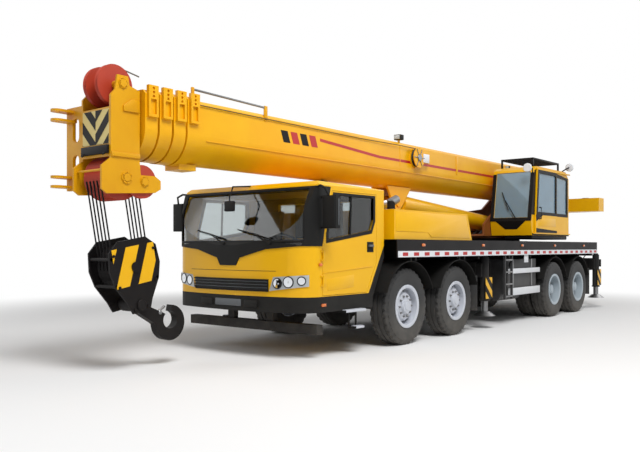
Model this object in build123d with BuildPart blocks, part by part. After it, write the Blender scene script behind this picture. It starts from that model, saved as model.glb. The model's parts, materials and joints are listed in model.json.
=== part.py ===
"""Four-axle truck crane with a five-section telescopic boom, in millimetres.

+X points forward, +Y to the left, +Z up, and the ground is Z = 0. Stations are measured along X from the
first axle, and the whole crane is centred on X = 0 between the head's nose and the counterweight.
"""

import os
from math import atan, cos, radians, sin

from build123d import *

os.makedirs("parts", exist_ok=True)

# Fits
PIN_CLEARANCE = 0.4
SLIDE_CLEARANCE = 0.4
RUNNING_GAP = 6

# Wheels and axles
TYRE_RADIUS = 562
TYRE_WIDTH = 315
RIM_RADIUS = 285
RIM_WALL = 17
FRONT_TRACK = 2304
REAR_TRACK = 2040
TWIN_SPACING = 345
AXLE_STATIONS = (0, -1470, -5575, -6925)
SPINDLE_RADIUS = 58
KINGPIN_RADIUS = 28
KINGPIN_Y = FRONT_TRACK / 2 - 112
KNUCKLE_RADIUS = 55
KNUCKLE_HEIGHT = 190
EAR_THICKNESS = 30
EAR_RADIUS = 50

# Chassis frame and deck
FRAME_WIDTH = 860
FRAME_TOP = 1230
FRAME_BOTTOM = 850
RAIL_FLANGE = 120
RAIL_PLATE = 20
FRAME_REAR_STATION = -9060
CAB_RAIL_TOP = 800
CAB_RAIL_BOTTOM = 560
DECK_TOP = 1540
DECK_PLATE = 8
DECK_HALF_WIDTH = 1390
SKIRT_DEPTH = 260
SKIRT_THICKNESS = 20
DECK_FRONT_STATION = 400
DECK_REAR_STATION = -8050
GUARD_RADIUS = 665
GUARD_PLATE = 8

# Driver's cab
CAB_WIDTH = 2500
CAB_WALL = 50
CAB_FRONT_STATION = 2350
CAB_REAR_STATION = 530
CAB_FLOOR_Z = 800
CAB_ROOF_Z = 2270
CAB_CORNER_RADIUS = 355
CAB_BOW = 160
SCREEN_FOOT_Z = 1450
SCREEN_RAKE = 350
ARCH_CUT_Z = 1450
ARCH_CUT_STATION = 900
ROOF_EDGE_RADIUS = 90
ROOF_EDGE_LEAD = 6
DOOR_FRONT_STATION = 1900
DOOR_REAR_STATION = 720
DOOR_BOTTOM_Z = 815
DOOR_TOP_Z = 2150
DOOR_HEEL_STATION = ARCH_CUT_STATION + 50
DOOR_HEEL_Z = 1220
TRIM_THICKNESS = 12
PILLAR_WIDTH = 95
DOOR_HINGE_RADIUS = 13
DOOR_PIN_RADIUS = 7

# Outriggers
OUTRIGGER_STATIONS = (-2850, -8700)
OUTRIGGER_PITCH = 300
TUBE_HEIGHT = 280
TUBE_WALL = 14
TUBE_BOTTOM = 880
TUBE_HALF_LENGTH = 1095
JACK_Y = TUBE_HALF_LENGTH + 100
JACK_TUBE_RADIUS = 76
JACK_LEG_RADIUS = 58
JACK_TUBE_BOTTOM = 480
PAD_RADIUS = 190
PAD_BOTTOM = 225
PAD_HEIGHT = 75

# Slewing superstructure
SLEW_STATION = -5200
SLEW_RING_RADIUS = 690
SLEW_RING_TOP = 1610
TURRET_FLOOR_Z = 1650
TURRET_FLOOR_PLATE = 40
TURRET_INNER_HALF = 430
TURRET_PLATE = 40
TURRET_FRONT_STATION = -4150
WEIGHT_DEPTH = 540
WEIGHT_HALF_WIDTH = 1200
WEIGHT_BOTTOM = 2300
WEIGHT_TOP = 2620

# Operator's cab
OPCAB_INNER_Y = 482
OPCAB_OUTER_Y = 1330
OPCAB_WALL = 40
OPCAB_FRONT_STATION = -4400
OPCAB_REAR_STATION = -6400
OPCAB_BOTTOM = 1660
OPCAB_ROOF = 3020
OPDOOR_FRONT_STATION = -4560
OPDOOR_REAR_STATION = -5640
OPDOOR_THICKNESS = 32
OPDOOR_RAIL = 22

# Boom
FOOT_STATION = -7400
FOOT_Z = 2800
FOOT_PIN_RADIUS = 70
BOOM_BOTTOM = 2440
BOOM_TOP = 3200
BOOM_WIDTH = 680
BOOM_WALL = 12
SECTION_STEP = 22
BOOM_CORNER = 45
BASE_FRONT_STATION = 3350
BASE_REAR_OVERHANG = 350
COLLAR_PITCH = 200
COLLAR_LENGTH = 175
COLLAR_RIM = 24
SECTION_REAR_INSET = 380
SECTION_REAR_PITCH = 150
HEAD_PLATE = 28
HEAD_FRONT_STATION = 4355
NOSE_FRONT_STATION = 4470
FORK_TIP_STATION = 4560
BANK_STATION = 4150
BANK_Z = 2200
SHEAVE_RADIUS = 250
SHEAVE_PITCH = 66
SHEAVE_COUNT = 5
GROOVE_DEPTH = 22
AXLE_PIN_RADIUS = 45
TOP_SHEAVE_STATION = 4200
TOP_SHEAVE_Z = 3235
TOP_SHEAVE_RADIUS = 230
GUIDE_STATION = 3910
GUIDE_Z = 2170
GUIDE_RADIUS = 190

# Lift cylinder
CYLINDER_BASE_STATION = -5500
CYLINDER_BASE_Z = 1905
LUG_STATION = -1500
LUG_Z = 2205
BARREL_RADIUS = 165
ROD_RADIUS = 110
CYLINDER_PIN_RADIUS = 55
CYLINDER_EYE_RADIUS = 115
LUG_GAP = 260
LUG_PLATE = 40

# Hook block
HOOK_TILT = 10
ROPE_RADIUS = 9
BLOCK_TOP_DROP = 692
BLOCK_AXLE_DROP = BLOCK_TOP_DROP + 320
TRUNNION_DROP = BLOCK_TOP_DROP + 760
BLOCK_CHEEK_Y = 182
BLOCK_CHEEK = 24
HOOK_PULL = 65

# The winches stand behind the boom's tail, and the counterweight behind the winches
WINCH_FLANGE_RADIUS = 262
WINCH_1_STATION = FOOT_STATION - BASE_REAR_OVERHANG - WINCH_FLANGE_RADIUS - 138
WINCH_2_STATION = WINCH_1_STATION - 300
WEIGHT_FRONT_STATION = WINCH_2_STATION - WINCH_FLANGE_RADIUS - 48
TAIL_STATION = WEIGHT_FRONT_STATION - WEIGHT_DEPTH
TAIL_RADIUS = SLEW_STATION - TAIL_STATION

# Stations are turned into X of the frame here: the head's nose and the counterweight lie equally far out
AXLE_1_X = -(FORK_TIP_STATION + TAIL_STATION) / 2
SLEW_X = AXLE_1_X + SLEW_STATION
FOOT_X = AXLE_1_X + FOOT_STATION
BANK_X = AXLE_1_X + BANK_STATION
AXLE_X = [AXLE_1_X + station for station in AXLE_STATIONS]
SIDES = {"left": 1, "right": -1}


def at(*points):
    """Turns (station, z) corners into (x, z) corners."""
    return [(AXLE_1_X + station, z) for station, z in points]


def polygon(*points):
    """Closed face from its corners."""
    with BuildSketch(mode=Mode.PRIVATE) as face:
        with BuildLine():
            Polyline(*points, close=True)
        make_face()
    return face.sketch


def slab(points, low_y, high_y):
    """Prism of an outline in X and Z between two values of Y."""
    with BuildPart(mode=Mode.PRIVATE) as prism:
        with BuildSketch(Plane.XZ.offset(-high_y)):
            add(polygon(*points))
        extrude(amount=high_y - low_y)
    return prism.part


def block(x, y, z, mode=Mode.ADD):
    """Adds a box to the open part, given by its low and high values on each axis."""
    with Locations(((x[0] + x[1]) / 2, (y[0] + y[1]) / 2, (z[0] + z[1]) / 2)):
        Box(x[1] - x[0], y[1] - y[0], z[1] - z[0], mode=mode)


def cross_shaft(x, z, radius, y, mode=Mode.ADD):
    """Adds a cylinder along Y to the open part."""
    with Locations((x, (y[0] + y[1]) / 2, z)):
        Cylinder(radius, y[1] - y[0], rotation=(90, 0, 0), mode=mode)


def ring_of(profile, centre):
    """Revolves a (radius, y) profile about the Y line through a centre, and returns the part."""
    with BuildPart(mode=Mode.PRIVATE) as ring:
        with BuildSketch(Plane(origin=centre, x_dir=(1, 0, 0), z_dir=(0, 0, 1))):
            add(polygon(*profile))
        revolve(axis=Axis(centre, (0, 1, 0)))
    return ring.part


def finish(part, name):
    """Labels a finished piece and writes it."""
    part.label = name
    export_step(part, f"parts/{name}.step")


# Wheels: a tyre and a rim for each corner, the rear ones twins
def tyre_profile(middle):
    """Section of a tyre about a mid-plane at the given offset along Y."""
    half = TYRE_WIDTH / 2
    bore = RIM_RADIUS + PIN_CLEARANCE
    return [(bore, middle - half + 18), (TYRE_RADIUS - 95, middle - half), (TYRE_RADIUS, middle - half + 34),
            (TYRE_RADIUS, middle + half - 34), (TYRE_RADIUS - 95, middle + half), (bore, middle + half - 18)]


SPINDLE_BORE = SPINDLE_RADIUS + PIN_CLEARANCE
RIM_INNER = RIM_RADIUS - RIM_WALL
FRONT_RIM_PROFILE = [
    (0, 104), (SPINDLE_BORE, 104), (SPINDLE_BORE, -50), (120, -50), (120, 62), (182, 82), (RIM_INNER, 0),
    (RIM_INNER, -150), (RIM_RADIUS, -150), (RIM_RADIUS, 150), (RIM_INNER, 150), (RIM_INNER, 24), (188, 106),
    (112, 112), (100, 150), (0, 150)]
REAR_RIM_PROFILE = [
    (0, 130), (SPINDLE_BORE, 130), (SPINDLE_BORE, -120), (140, -120), (140, 0), (RIM_INNER, 0),
    (RIM_INNER, -322), (RIM_RADIUS, -322), (RIM_RADIUS, 322), (RIM_INNER, 322), (RIM_INNER, 60), (150, 34),
    (140, 190), (98, 206), (92, 262), (0, 262)]


def mirrored(profile, side):
    """Turns a left-hand profile into the given side's."""
    return [(radius, side * y) for radius, y in profile]


for number, axle_x in enumerate(AXLE_X, start=1):
    steered = number <= 2
    track = FRONT_TRACK if steered else REAR_TRACK
    for side_name, side in SIDES.items():
        centre = (axle_x, side * track / 2, TYRE_RADIUS)
        with BuildPart() as tyre:
            if steered:
                add(ring_of(mirrored(tyre_profile(0), side), centre))
            else:
                add(ring_of(mirrored(tyre_profile(TWIN_SPACING / 2), side), centre))
                add(ring_of(mirrored(tyre_profile(-TWIN_SPACING / 2), side), centre))
        finish(tyre.part, f"tyre_{number}_{side_name}")
        with BuildPart() as rim:
            add(ring_of(mirrored(FRONT_RIM_PROFILE if steered else REAR_RIM_PROFILE, side), centre))
        finish(rim.part, f"rim_{number}_{side_name}")

# Steering knuckles, each a barrel on its kingpin with the wheel's spindle
SPINDLE_END_FRONT = FRONT_TRACK / 2 + 100
for number in (1, 2):
    for side_name, side in SIDES.items():
        with BuildPart() as knuckle:
            with Locations((AXLE_X[number - 1], side * KINGPIN_Y, TYRE_RADIUS)):
                Cylinder(KNUCKLE_RADIUS, KNUCKLE_HEIGHT)
            inner_y, outer_y = sorted((side * KINGPIN_Y, side * SPINDLE_END_FRONT))
            cross_shaft(AXLE_X[number - 1], TYRE_RADIUS, SPINDLE_RADIUS, (inner_y, outer_y))
            with Locations((AXLE_X[number - 1], side * KINGPIN_Y, TYRE_RADIUS)):
                Cylinder(KINGPIN_RADIUS + PIN_CLEARANCE, KNUCKLE_HEIGHT, mode=Mode.SUBTRACT)
        finish(knuckle.part, f"knuckle_{number}_{side_name}")

# Axles: forked front beams with kingpins, round rear housings with spindles, all on leaf springs
EAR_Z = KNUCKLE_HEIGHT / 2 + 1 + EAR_THICKNESS / 2
SPRING_Y = FRAME_WIDTH / 2 - RAIL_FLANGE / 2
SPRING_HALF_LENGTH = 560


def leaf_spring(axle_x, seat_z, spring_y):
    """Arched spring pack, thick at the axle seat and with its ends under the frame rail."""
    outline = [(axle_x - SPRING_HALF_LENGTH, FRAME_BOTTOM), (axle_x - SPRING_HALF_LENGTH + 60, FRAME_BOTTOM),
               (axle_x - 60, seat_z + 90), (axle_x + 60, seat_z + 90),
               (axle_x + SPRING_HALF_LENGTH - 60, FRAME_BOTTOM), (axle_x + SPRING_HALF_LENGTH, FRAME_BOTTOM),
               (axle_x + SPRING_HALF_LENGTH, FRAME_BOTTOM - 25), (axle_x + 90, seat_z),
               (axle_x - 90, seat_z), (axle_x - SPRING_HALF_LENGTH, FRAME_BOTTOM - 25)]
    return slab(outline, spring_y - 45, spring_y + 45)


with BuildPart() as axles:
    for axle_x in AXLE_X[:2]:
        block((axle_x - 60, axle_x + 60), (-KINGPIN_Y + 90, KINGPIN_Y - 90), (TYRE_RADIUS - 70, TYRE_RADIUS + 70))
        for side in SIDES.values():
            yoke_y = sorted((side * (KINGPIN_Y - 115), side * (KINGPIN_Y - 75)))
            yoke_z = EAR_Z + EAR_THICKNESS / 2
            block((axle_x - 55, axle_x + 55), yoke_y, (TYRE_RADIUS - yoke_z, TYRE_RADIUS + yoke_z))
            ear_y = sorted((side * (KINGPIN_Y - 115), side * KINGPIN_Y))
            for level in (-EAR_Z, EAR_Z):
                ear_z = TYRE_RADIUS + level
                block((axle_x - EAR_RADIUS, axle_x + EAR_RADIUS), ear_y,
                      (ear_z - EAR_THICKNESS / 2, ear_z + EAR_THICKNESS / 2))
                with Locations((axle_x, side * KINGPIN_Y, ear_z)):
                    Cylinder(EAR_RADIUS, EAR_THICKNESS)
            with Locations((axle_x, side * KINGPIN_Y, TYRE_RADIUS)):
                Cylinder(KINGPIN_RADIUS, 2 * EAR_Z)
            add(leaf_spring(axle_x, TYRE_RADIUS + 70, side * SPRING_Y))
    for axle_x in AXLE_X[2:]:
        housing_end = REAR_TRACK / 2 - 130
        cross_shaft(axle_x, TYRE_RADIUS, 95, (-housing_end, housing_end))
        cross_shaft(axle_x, TYRE_RADIUS, SPINDLE_RADIUS, (-REAR_TRACK / 2 - 125, REAR_TRACK / 2 + 125))
        with Locations((axle_x, 0, TYRE_RADIUS)):
            Cylinder(210, 260, rotation=(0, 90, 0))
        for side in SIDES.values():
            add(leaf_spring(axle_x, TYRE_RADIUS + 90, side * SPRING_Y))
finish(axles.part, "axles")

# Chassis frame: two channel rails with cross-members, low cab rails in front, a boom rest and a cross beam
RAIL_OUTER = FRAME_WIDTH / 2
RAIL_INNER = RAIL_OUTER - RAIL_FLANGE
RAIL_FRONT_STATION = 510
CAB_RAIL_REAR_STATION = 640
CAB_RAIL_FRONT_STATION = 2040
ENGINE_BOTTOM = 1000
ENGINE_STATIONS = (-1580, -120)
CROSS_MEMBER_STATIONS = (-2150, -3300, -4200, -5200, -6250, -7500, -9010)
REST_STATIONS = (410, 510)
FRONT_BEAM_STATION = 1900
tube_x = [
    AXLE_1_X + station + shift * OUTRIGGER_PITCH / 2 for station in OUTRIGGER_STATIONS for shift in (1, -1)]
TUBE_TOP = TUBE_BOTTOM + TUBE_HEIGHT
with BuildPart() as frame:
    for side in SIDES.values():
        web_y = sorted((side * (RAIL_OUTER - RAIL_PLATE), side * RAIL_OUTER))
        flange_y = sorted((side * RAIL_INNER, side * RAIL_OUTER))
        rail_x = (AXLE_1_X + FRAME_REAR_STATION, AXLE_1_X + RAIL_FRONT_STATION)
        block(rail_x, web_y, (FRAME_BOTTOM, FRAME_TOP))
        block(rail_x, flange_y, (FRAME_TOP - RAIL_PLATE, FRAME_TOP))
        block(rail_x, flange_y, (FRAME_BOTTOM, FRAME_BOTTOM + RAIL_PLATE))
        add(slab(at((RAIL_FRONT_STATION - 20, FRAME_TOP), (RAIL_FRONT_STATION, FRAME_TOP),
                    (CAB_RAIL_REAR_STATION - 20, FRAME_BOTTOM + 70), (CAB_RAIL_REAR_STATION + 100, CAB_RAIL_TOP),
                    (CAB_RAIL_FRONT_STATION, CAB_RAIL_TOP), (CAB_RAIL_FRONT_STATION, CAB_RAIL_BOTTOM),
                    (CAB_RAIL_REAR_STATION, CAB_RAIL_BOTTOM), (CAB_RAIL_REAR_STATION - 30, FRAME_BOTTOM),
                    (RAIL_FRONT_STATION - 20, FRAME_BOTTOM)), *flange_y))
        beam_x = AXLE_1_X + FRONT_BEAM_STATION
        block((beam_x - 40, beam_x + 40), flange_y, (315, CAB_RAIL_BOTTOM))
    for station in (*CROSS_MEMBER_STATIONS, RAIL_FRONT_STATION - 60):
        member_x = AXLE_1_X + station
        block((member_x - 50, member_x + 50), (-RAIL_OUTER, RAIL_OUTER), (FRAME_BOTTOM, FRAME_TOP))
    for station in (ENGINE_STATIONS[0] + 60, ENGINE_STATIONS[1] - 60):
        member_x = AXLE_1_X + station
        block((member_x - 50, member_x + 50), (-RAIL_OUTER, RAIL_OUTER), (FRAME_BOTTOM, ENGINE_BOTTOM))
    block((beam_x - 60, beam_x + 60), (-1200, 1200), (315, 440))
    front_member = AXLE_1_X + CAB_RAIL_FRONT_STATION
    block((front_member - 80, front_member), (-RAIL_OUTER, RAIL_OUTER), (CAB_RAIL_BOTTOM, CAB_RAIL_TOP))
    rest_x = (AXLE_1_X + REST_STATIONS[0], AXLE_1_X + REST_STATIONS[1])
    for side in SIDES.values():
        leg_y = sorted((side * RAIL_INNER, side * RAIL_OUTER))
        block(rest_x, leg_y, (FRAME_TOP, BOOM_BOTTOM - 125))
    block(rest_x, (-RAIL_OUTER, RAIL_OUTER), (BOOM_BOTTOM - 225, BOOM_BOTTOM - 125))
    block(rest_x, (-140, 140), (BOOM_BOTTOM - 125, BOOM_BOTTOM - RUNNING_GAP))
    ring_height = SLEW_RING_TOP - PIN_CLEARANCE - FRAME_TOP
    with Locations((SLEW_X, 0, FRAME_TOP + ring_height / 2)):
        Cylinder(SLEW_RING_RADIUS, ring_height)
    for x in tube_x:
        block((x - OUTRIGGER_PITCH / 2, x + OUTRIGGER_PITCH / 2), (-RAIL_OUTER, RAIL_OUTER),
              (TUBE_BOTTOM, TUBE_TOP), mode=Mode.SUBTRACT)
finish(frame.part, "chassis_frame")

# Outrigger boxes: two tubes side by side at each station, one for each side's beam
TUBE_INNER_HALF = OUTRIGGER_PITCH / 2 - TUBE_WALL
with BuildPart() as boxes:
    for x in tube_x:
        block((x - OUTRIGGER_PITCH / 2, x + OUTRIGGER_PITCH / 2), (-TUBE_HALF_LENGTH, TUBE_HALF_LENGTH),
              (TUBE_BOTTOM, TUBE_TOP))
    for x in tube_x:
        block((x - TUBE_INNER_HALF, x + TUBE_INNER_HALF), (-TUBE_HALF_LENGTH, TUBE_HALF_LENGTH),
              (TUBE_BOTTOM + TUBE_WALL, TUBE_TOP - TUBE_WALL), mode=Mode.SUBTRACT)
finish(boxes.part, "outrigger_boxes")

# Outrigger beams with their jack tubes, and the jack legs with their pads
BEAM_HALF = TUBE_INNER_HALF - RUNNING_GAP
BEAM_BOTTOM = TUBE_BOTTOM + TUBE_WALL + RUNNING_GAP
BEAM_TOP = TUBE_TOP - TUBE_WALL - RUNNING_GAP
JACK_TUBE_TOP = TUBE_TOP + 90
outrigger_places = [(end, side_name, side, x) for (end, side_name, side), x in zip(
    [(end, name, side) for end in ("front", "rear") for name, side in SIDES.items()], tube_x)]
for end, side_name, side, x in outrigger_places:
    with BuildPart() as beam:
        block((x - BEAM_HALF, x + BEAM_HALF), sorted((-side * (TUBE_HALF_LENGTH - 20), side * JACK_Y)),
              (BEAM_BOTTOM, BEAM_TOP))
        pad_y = sorted((-side * (TUBE_HALF_LENGTH - 40), -side * (TUBE_HALF_LENGTH - 240)))
        block((x - BEAM_HALF, x + BEAM_HALF), pad_y,
              (BEAM_BOTTOM - RUNNING_GAP + SLIDE_CLEARANCE, BEAM_TOP + RUNNING_GAP - SLIDE_CLEARANCE))
        with Locations((x, side * JACK_Y, (JACK_TUBE_BOTTOM + JACK_TUBE_TOP) / 2)):
            Cylinder(JACK_TUBE_RADIUS, JACK_TUBE_TOP - JACK_TUBE_BOTTOM)
        bore_top = JACK_TUBE_TOP - 30
        with Locations((x, side * JACK_Y, (JACK_TUBE_BOTTOM + bore_top) / 2)):
            Cylinder(JACK_LEG_RADIUS + SLIDE_CLEARANCE, bore_top - JACK_TUBE_BOTTOM, mode=Mode.SUBTRACT)
    finish(beam.part, f"outrigger_beam_{end}_{side_name}")
    with BuildPart() as jack:
        leg_top = bore_top - 15
        with Locations((x, side * JACK_Y, (PAD_BOTTOM + leg_top) / 2)):
            Cylinder(JACK_LEG_RADIUS, leg_top - PAD_BOTTOM)
        with Locations((x, side * JACK_Y, PAD_BOTTOM)):
            Cone(PAD_RADIUS, 90, PAD_HEIGHT, align=(Align.CENTER, Align.CENTER, Align.MIN))
    finish(jack.part, f"outrigger_jack_{end}_{side_name}")

# Deck with side skirts and the ribs that carry it on the frame
RIB_STATIONS = (-2100, -3300, -4250, -7700)
with BuildPart() as deck:
    deck_x = (AXLE_1_X + DECK_REAR_STATION, AXLE_1_X + DECK_FRONT_STATION)
    block(deck_x, (-DECK_HALF_WIDTH, DECK_HALF_WIDTH), (DECK_TOP - DECK_PLATE, DECK_TOP))
    with Locations((SLEW_X, 0, DECK_TOP)):
        Cylinder(SLEW_RING_RADIUS + RUNNING_GAP, 4 * DECK_PLATE, mode=Mode.SUBTRACT)
    engine_x = (AXLE_1_X + ENGINE_STATIONS[0], AXLE_1_X + ENGINE_STATIONS[1])
    block((engine_x[0] - 60, deck_x[1]), (-520, 520), (DECK_TOP - 4 * DECK_PLATE, DECK_TOP + DECK_PLATE),
          mode=Mode.SUBTRACT)
    for side in SIDES.values():
        skirt_y = sorted((side * (DECK_HALF_WIDTH - SKIRT_THICKNESS), side * DECK_HALF_WIDTH))
        block(deck_x, skirt_y, (DECK_TOP - SKIRT_DEPTH, DECK_TOP))
    for station in RIB_STATIONS:
        rib_x = AXLE_1_X + station
        block((rib_x - 15, rib_x + 15), (-DECK_HALF_WIDTH, DECK_HALF_WIDTH), (FRAME_TOP, DECK_TOP))
    for side in SIDES.values():
        for station in (-100, -1600):
            rib_x = AXLE_1_X + station
            rib_y = sorted((side * RAIL_INNER, side * DECK_HALF_WIDTH))
            block((rib_x - 15, rib_x + 15), rib_y, (FRAME_TOP, DECK_TOP - DECK_PLATE))
finish(deck.part, "deck")

# Mudguards: an arch over each wheel, hung from the deck
GUARD_INNER_Y = 700
GUARD_OUTER_Y = DECK_HALF_WIDTH - SKIRT_THICKNESS
with BuildPart() as guards:
    for axle_x in AXLE_X:
        for side in SIDES.values():
            arch_y = sorted((side * GUARD_INNER_Y, side * GUARD_OUTER_Y))
            with BuildSketch(Plane.XZ.offset(-arch_y[1])):
                with Locations((axle_x, TYRE_RADIUS)):
                    Circle(GUARD_RADIUS)
                    Circle(GUARD_RADIUS - GUARD_PLATE, mode=Mode.SUBTRACT)
                    with Locations((0, -GUARD_RADIUS + 230)):
                        Rectangle(3 * GUARD_RADIUS, 2 * GUARD_RADIUS, mode=Mode.SUBTRACT)
            extrude(amount=arch_y[1] - arch_y[0])
            block((axle_x - 15, axle_x + 15), arch_y,
                  (TYRE_RADIUS + GUARD_RADIUS - GUARD_PLATE / 2, DECK_TOP - DECK_PLATE))
finish(guards.part, "mudguards")

# Driver's cab: one outer form, hollowed, with the doors and windows cut out of it
CAB_FRONT_X = AXLE_1_X + CAB_FRONT_STATION
CAB_REAR_X = AXLE_1_X + CAB_REAR_STATION
CAB_HALF = CAB_WIDTH / 2
CAB_PROFILE = at(
    (ARCH_CUT_STATION, CAB_FLOOR_Z), (CAB_REAR_STATION, ARCH_CUT_Z), (CAB_REAR_STATION, CAB_ROOF_Z - 40),
    (CAB_FRONT_STATION - SCREEN_RAKE - 60, CAB_ROOF_Z), (CAB_FRONT_STATION - SCREEN_RAKE, CAB_ROOF_Z - 50),
    (CAB_FRONT_STATION, SCREEN_FOOT_Z), (CAB_FRONT_STATION, CAB_FLOOR_Z))


def cab_plan(growth):
    """Plan of the cab with its bowed front and round corners, grown outwards or inwards."""
    half = CAB_HALF + growth
    front = CAB_FRONT_X + growth
    rear = CAB_REAR_X - growth
    with BuildSketch(mode=Mode.PRIVATE) as plan:
        with BuildLine():
            ThreePointArc((front - CAB_BOW, -half), (front, 0), (front - CAB_BOW, half))
            Polyline((front - CAB_BOW, half), (rear, half), (rear, -half), (front - CAB_BOW, -half))
        make_face()
        fillet(vertices().group_by(Axis.X)[-1], CAB_CORNER_RADIUS + growth)
    return plan.sketch


def cab_form(growth):
    """The cab's outer form, grown outwards or inwards."""
    with BuildPart(mode=Mode.PRIVATE) as form:
        with BuildSketch(Plane.XZ.offset(-CAB_HALF - growth)):
            add(polygon(*CAB_PROFILE))
            if growth:
                offset(amount=growth, kind=Kind.INTERSECTION)
        extrude(amount=CAB_WIDTH + 2 * growth)
        with BuildSketch(Plane.XY):
            add(cab_plan(growth))
        extrude(amount=2 * CAB_ROOF_Z, mode=Mode.INTERSECT)
        with BuildSketch(Plane.YZ.offset(CAB_REAR_X - 2 * CAB_WALL)):
            with Locations((0, CAB_ROOF_Z / 2)):
                Rectangle(CAB_WIDTH + 2 * (growth + ROOF_EDGE_LEAD), CAB_ROOF_Z + 2 * (growth + ROOF_EDGE_LEAD))
            fillet(vertices().group_by(Axis.Z)[-1], ROOF_EDGE_RADIUS + growth)
        extrude(amount=CAB_FRONT_X - CAB_REAR_X + 4 * CAB_WALL, mode=Mode.INTERSECT)
    return form.part


def door_outline(growth):
    """Side view of the driver's door, slanted along the windscreen pillar and along the wheel arch."""
    front = DOOR_FRONT_STATION + growth
    rear = DOOR_REAR_STATION - growth
    bottom = DOOR_BOTTOM_Z - growth
    return at((DOOR_HEEL_STATION - growth, bottom), (front, bottom), (front, SCREEN_FOOT_Z),
              (front - 190, DOOR_TOP_Z + growth), (rear, DOOR_TOP_Z + growth), (rear, DOOR_HEEL_Z - growth))


DOOR_WINDOW_TOP = DOOR_TOP_Z - 50
DOOR_WINDOW = at((DOOR_REAR_STATION + 130, 1660), (DOOR_FRONT_STATION - 110, 1530), (DOOR_FRONT_STATION - 110, 1600),
                 (DOOR_FRONT_STATION - 250, DOOR_WINDOW_TOP), (DOOR_REAR_STATION + 70, DOOR_WINDOW_TOP),
                 (DOOR_REAR_STATION + 70, 1800))
screen_middle = (CAB_FRONT_X - SCREEN_RAKE / 2, 0, (SCREEN_FOOT_Z + CAB_ROOF_Z - 50) / 2)
screen_length = ((CAB_ROOF_Z - 50 - SCREEN_FOOT_Z) ** 2 + SCREEN_RAKE ** 2) ** 0.5
SCREEN_PLANE = Plane(origin=screen_middle, x_dir=(0, 1, 0), z_dir=(CAB_ROOF_Z - 50 - SCREEN_FOOT_Z, 0, SCREEN_RAKE))
SCREEN_WIDTH = CAB_WIDTH - 2 * PILLAR_WIDTH
SCREEN_HEIGHT = screen_length - 110
SCREEN_REACH = 480
HINGE_X = AXLE_1_X + DOOR_FRONT_STATION + RUNNING_GAP / 2
HINGE_Y = CAB_HALF + DOOR_HINGE_RADIUS + 2
HINGE_LEVELS = (1000, 1320)
HINGE_HEIGHT = 90
DOOR_DEPTH = (CAB_HALF - CAB_WALL, CAB_HALF)


def screen_prism():
    """Block through the cab's front with the outline of the windscreen."""
    with BuildPart(mode=Mode.PRIVATE) as prism:
        with BuildSketch(SCREEN_PLANE):
            RectangleRounded(SCREEN_WIDTH, SCREEN_HEIGHT, 70)
        extrude(amount=SCREEN_REACH, both=True)
    return prism.part


def front_bar(points, x):
    """Prism of an outline in Y and Z over a span of X."""
    with BuildPart(mode=Mode.PRIVATE) as prism:
        with BuildSketch(Plane.YZ.offset(x[0])):
            add(polygon(*points))
        extrude(amount=x[1] - x[0])
    return prism.part


with BuildPart() as cab:
    add(cab_form(0))
    add(cab_form(-CAB_WALL), mode=Mode.SUBTRACT)
    for side in SIDES.values():
        cut_y = sorted((side * (DOOR_DEPTH[0] - 1), side * (DOOR_DEPTH[1] + 1)))
        add(slab(door_outline(RUNNING_GAP), *cut_y), mode=Mode.SUBTRACT)
        for level in HINGE_LEVELS:
            for end in (-1, 1):
                lug_z = level + end * (HINGE_HEIGHT / 2 + 1 + 12)
                with Locations((HINGE_X, side * HINGE_Y, lug_z)):
                    Cylinder(DOOR_HINGE_RADIUS, 24)
                lug_y = sorted((side * (CAB_HALF - 10), side * HINGE_Y))
                block((HINGE_X + 1, HINGE_X + 40), lug_y, (lug_z - 12, lug_z + 12))
            with Locations((HINGE_X, side * HINGE_Y, level)):
                Cylinder(DOOR_PIN_RADIUS, HINGE_HEIGHT + 20)
    add(screen_prism(), mode=Mode.SUBTRACT)
    block((CAB_REAR_X - CAB_WALL, CAB_REAR_X + 2 * CAB_WALL), (-700, 700), (1560, 2080), mode=Mode.SUBTRACT)
finish(cab.part, "cab_shell")

for side_name, side in SIDES.items():
    with BuildPart() as door:
        add(slab(door_outline(0), *sorted((side * DOOR_DEPTH[0], side * DOOR_DEPTH[1]))))
        add(slab(DOOR_WINDOW, *sorted((side * (DOOR_DEPTH[0] - 1), side * (DOOR_DEPTH[1] + 1)))),
            mode=Mode.SUBTRACT)
        for level in HINGE_LEVELS:
            with Locations((HINGE_X, side * HINGE_Y, level)):
                Cylinder(DOOR_HINGE_RADIUS, HINGE_HEIGHT)
            leaf_y = sorted((side * (CAB_HALF - 5), side * (HINGE_Y + 4)))
            block((HINGE_X - 60, HINGE_X), leaf_y, (level - HINGE_HEIGHT / 2, level + HINGE_HEIGHT / 2))
            with Locations((HINGE_X, side * HINGE_Y, level)):
                Cylinder(DOOR_PIN_RADIUS + PIN_CLEARANCE, HINGE_HEIGHT + 10, mode=Mode.SUBTRACT)
    finish(door.part, f"cab_door_{side_name}")

# Cab glass: windscreen and rear window
GLASS = 8
GLASS_INSET = 18
with BuildPart() as cab_glass:
    add(cab_form(-GLASS_INSET))
    add(cab_form(-GLASS_INSET - GLASS), mode=Mode.SUBTRACT)
    add(screen_prism(), mode=Mode.INTERSECT)
    block((CAB_REAR_X + 20, CAB_REAR_X + 20 + GLASS), (-700, 700), (1560, 2080))
finish(cab_glass.part, "cab_glass")

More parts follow.
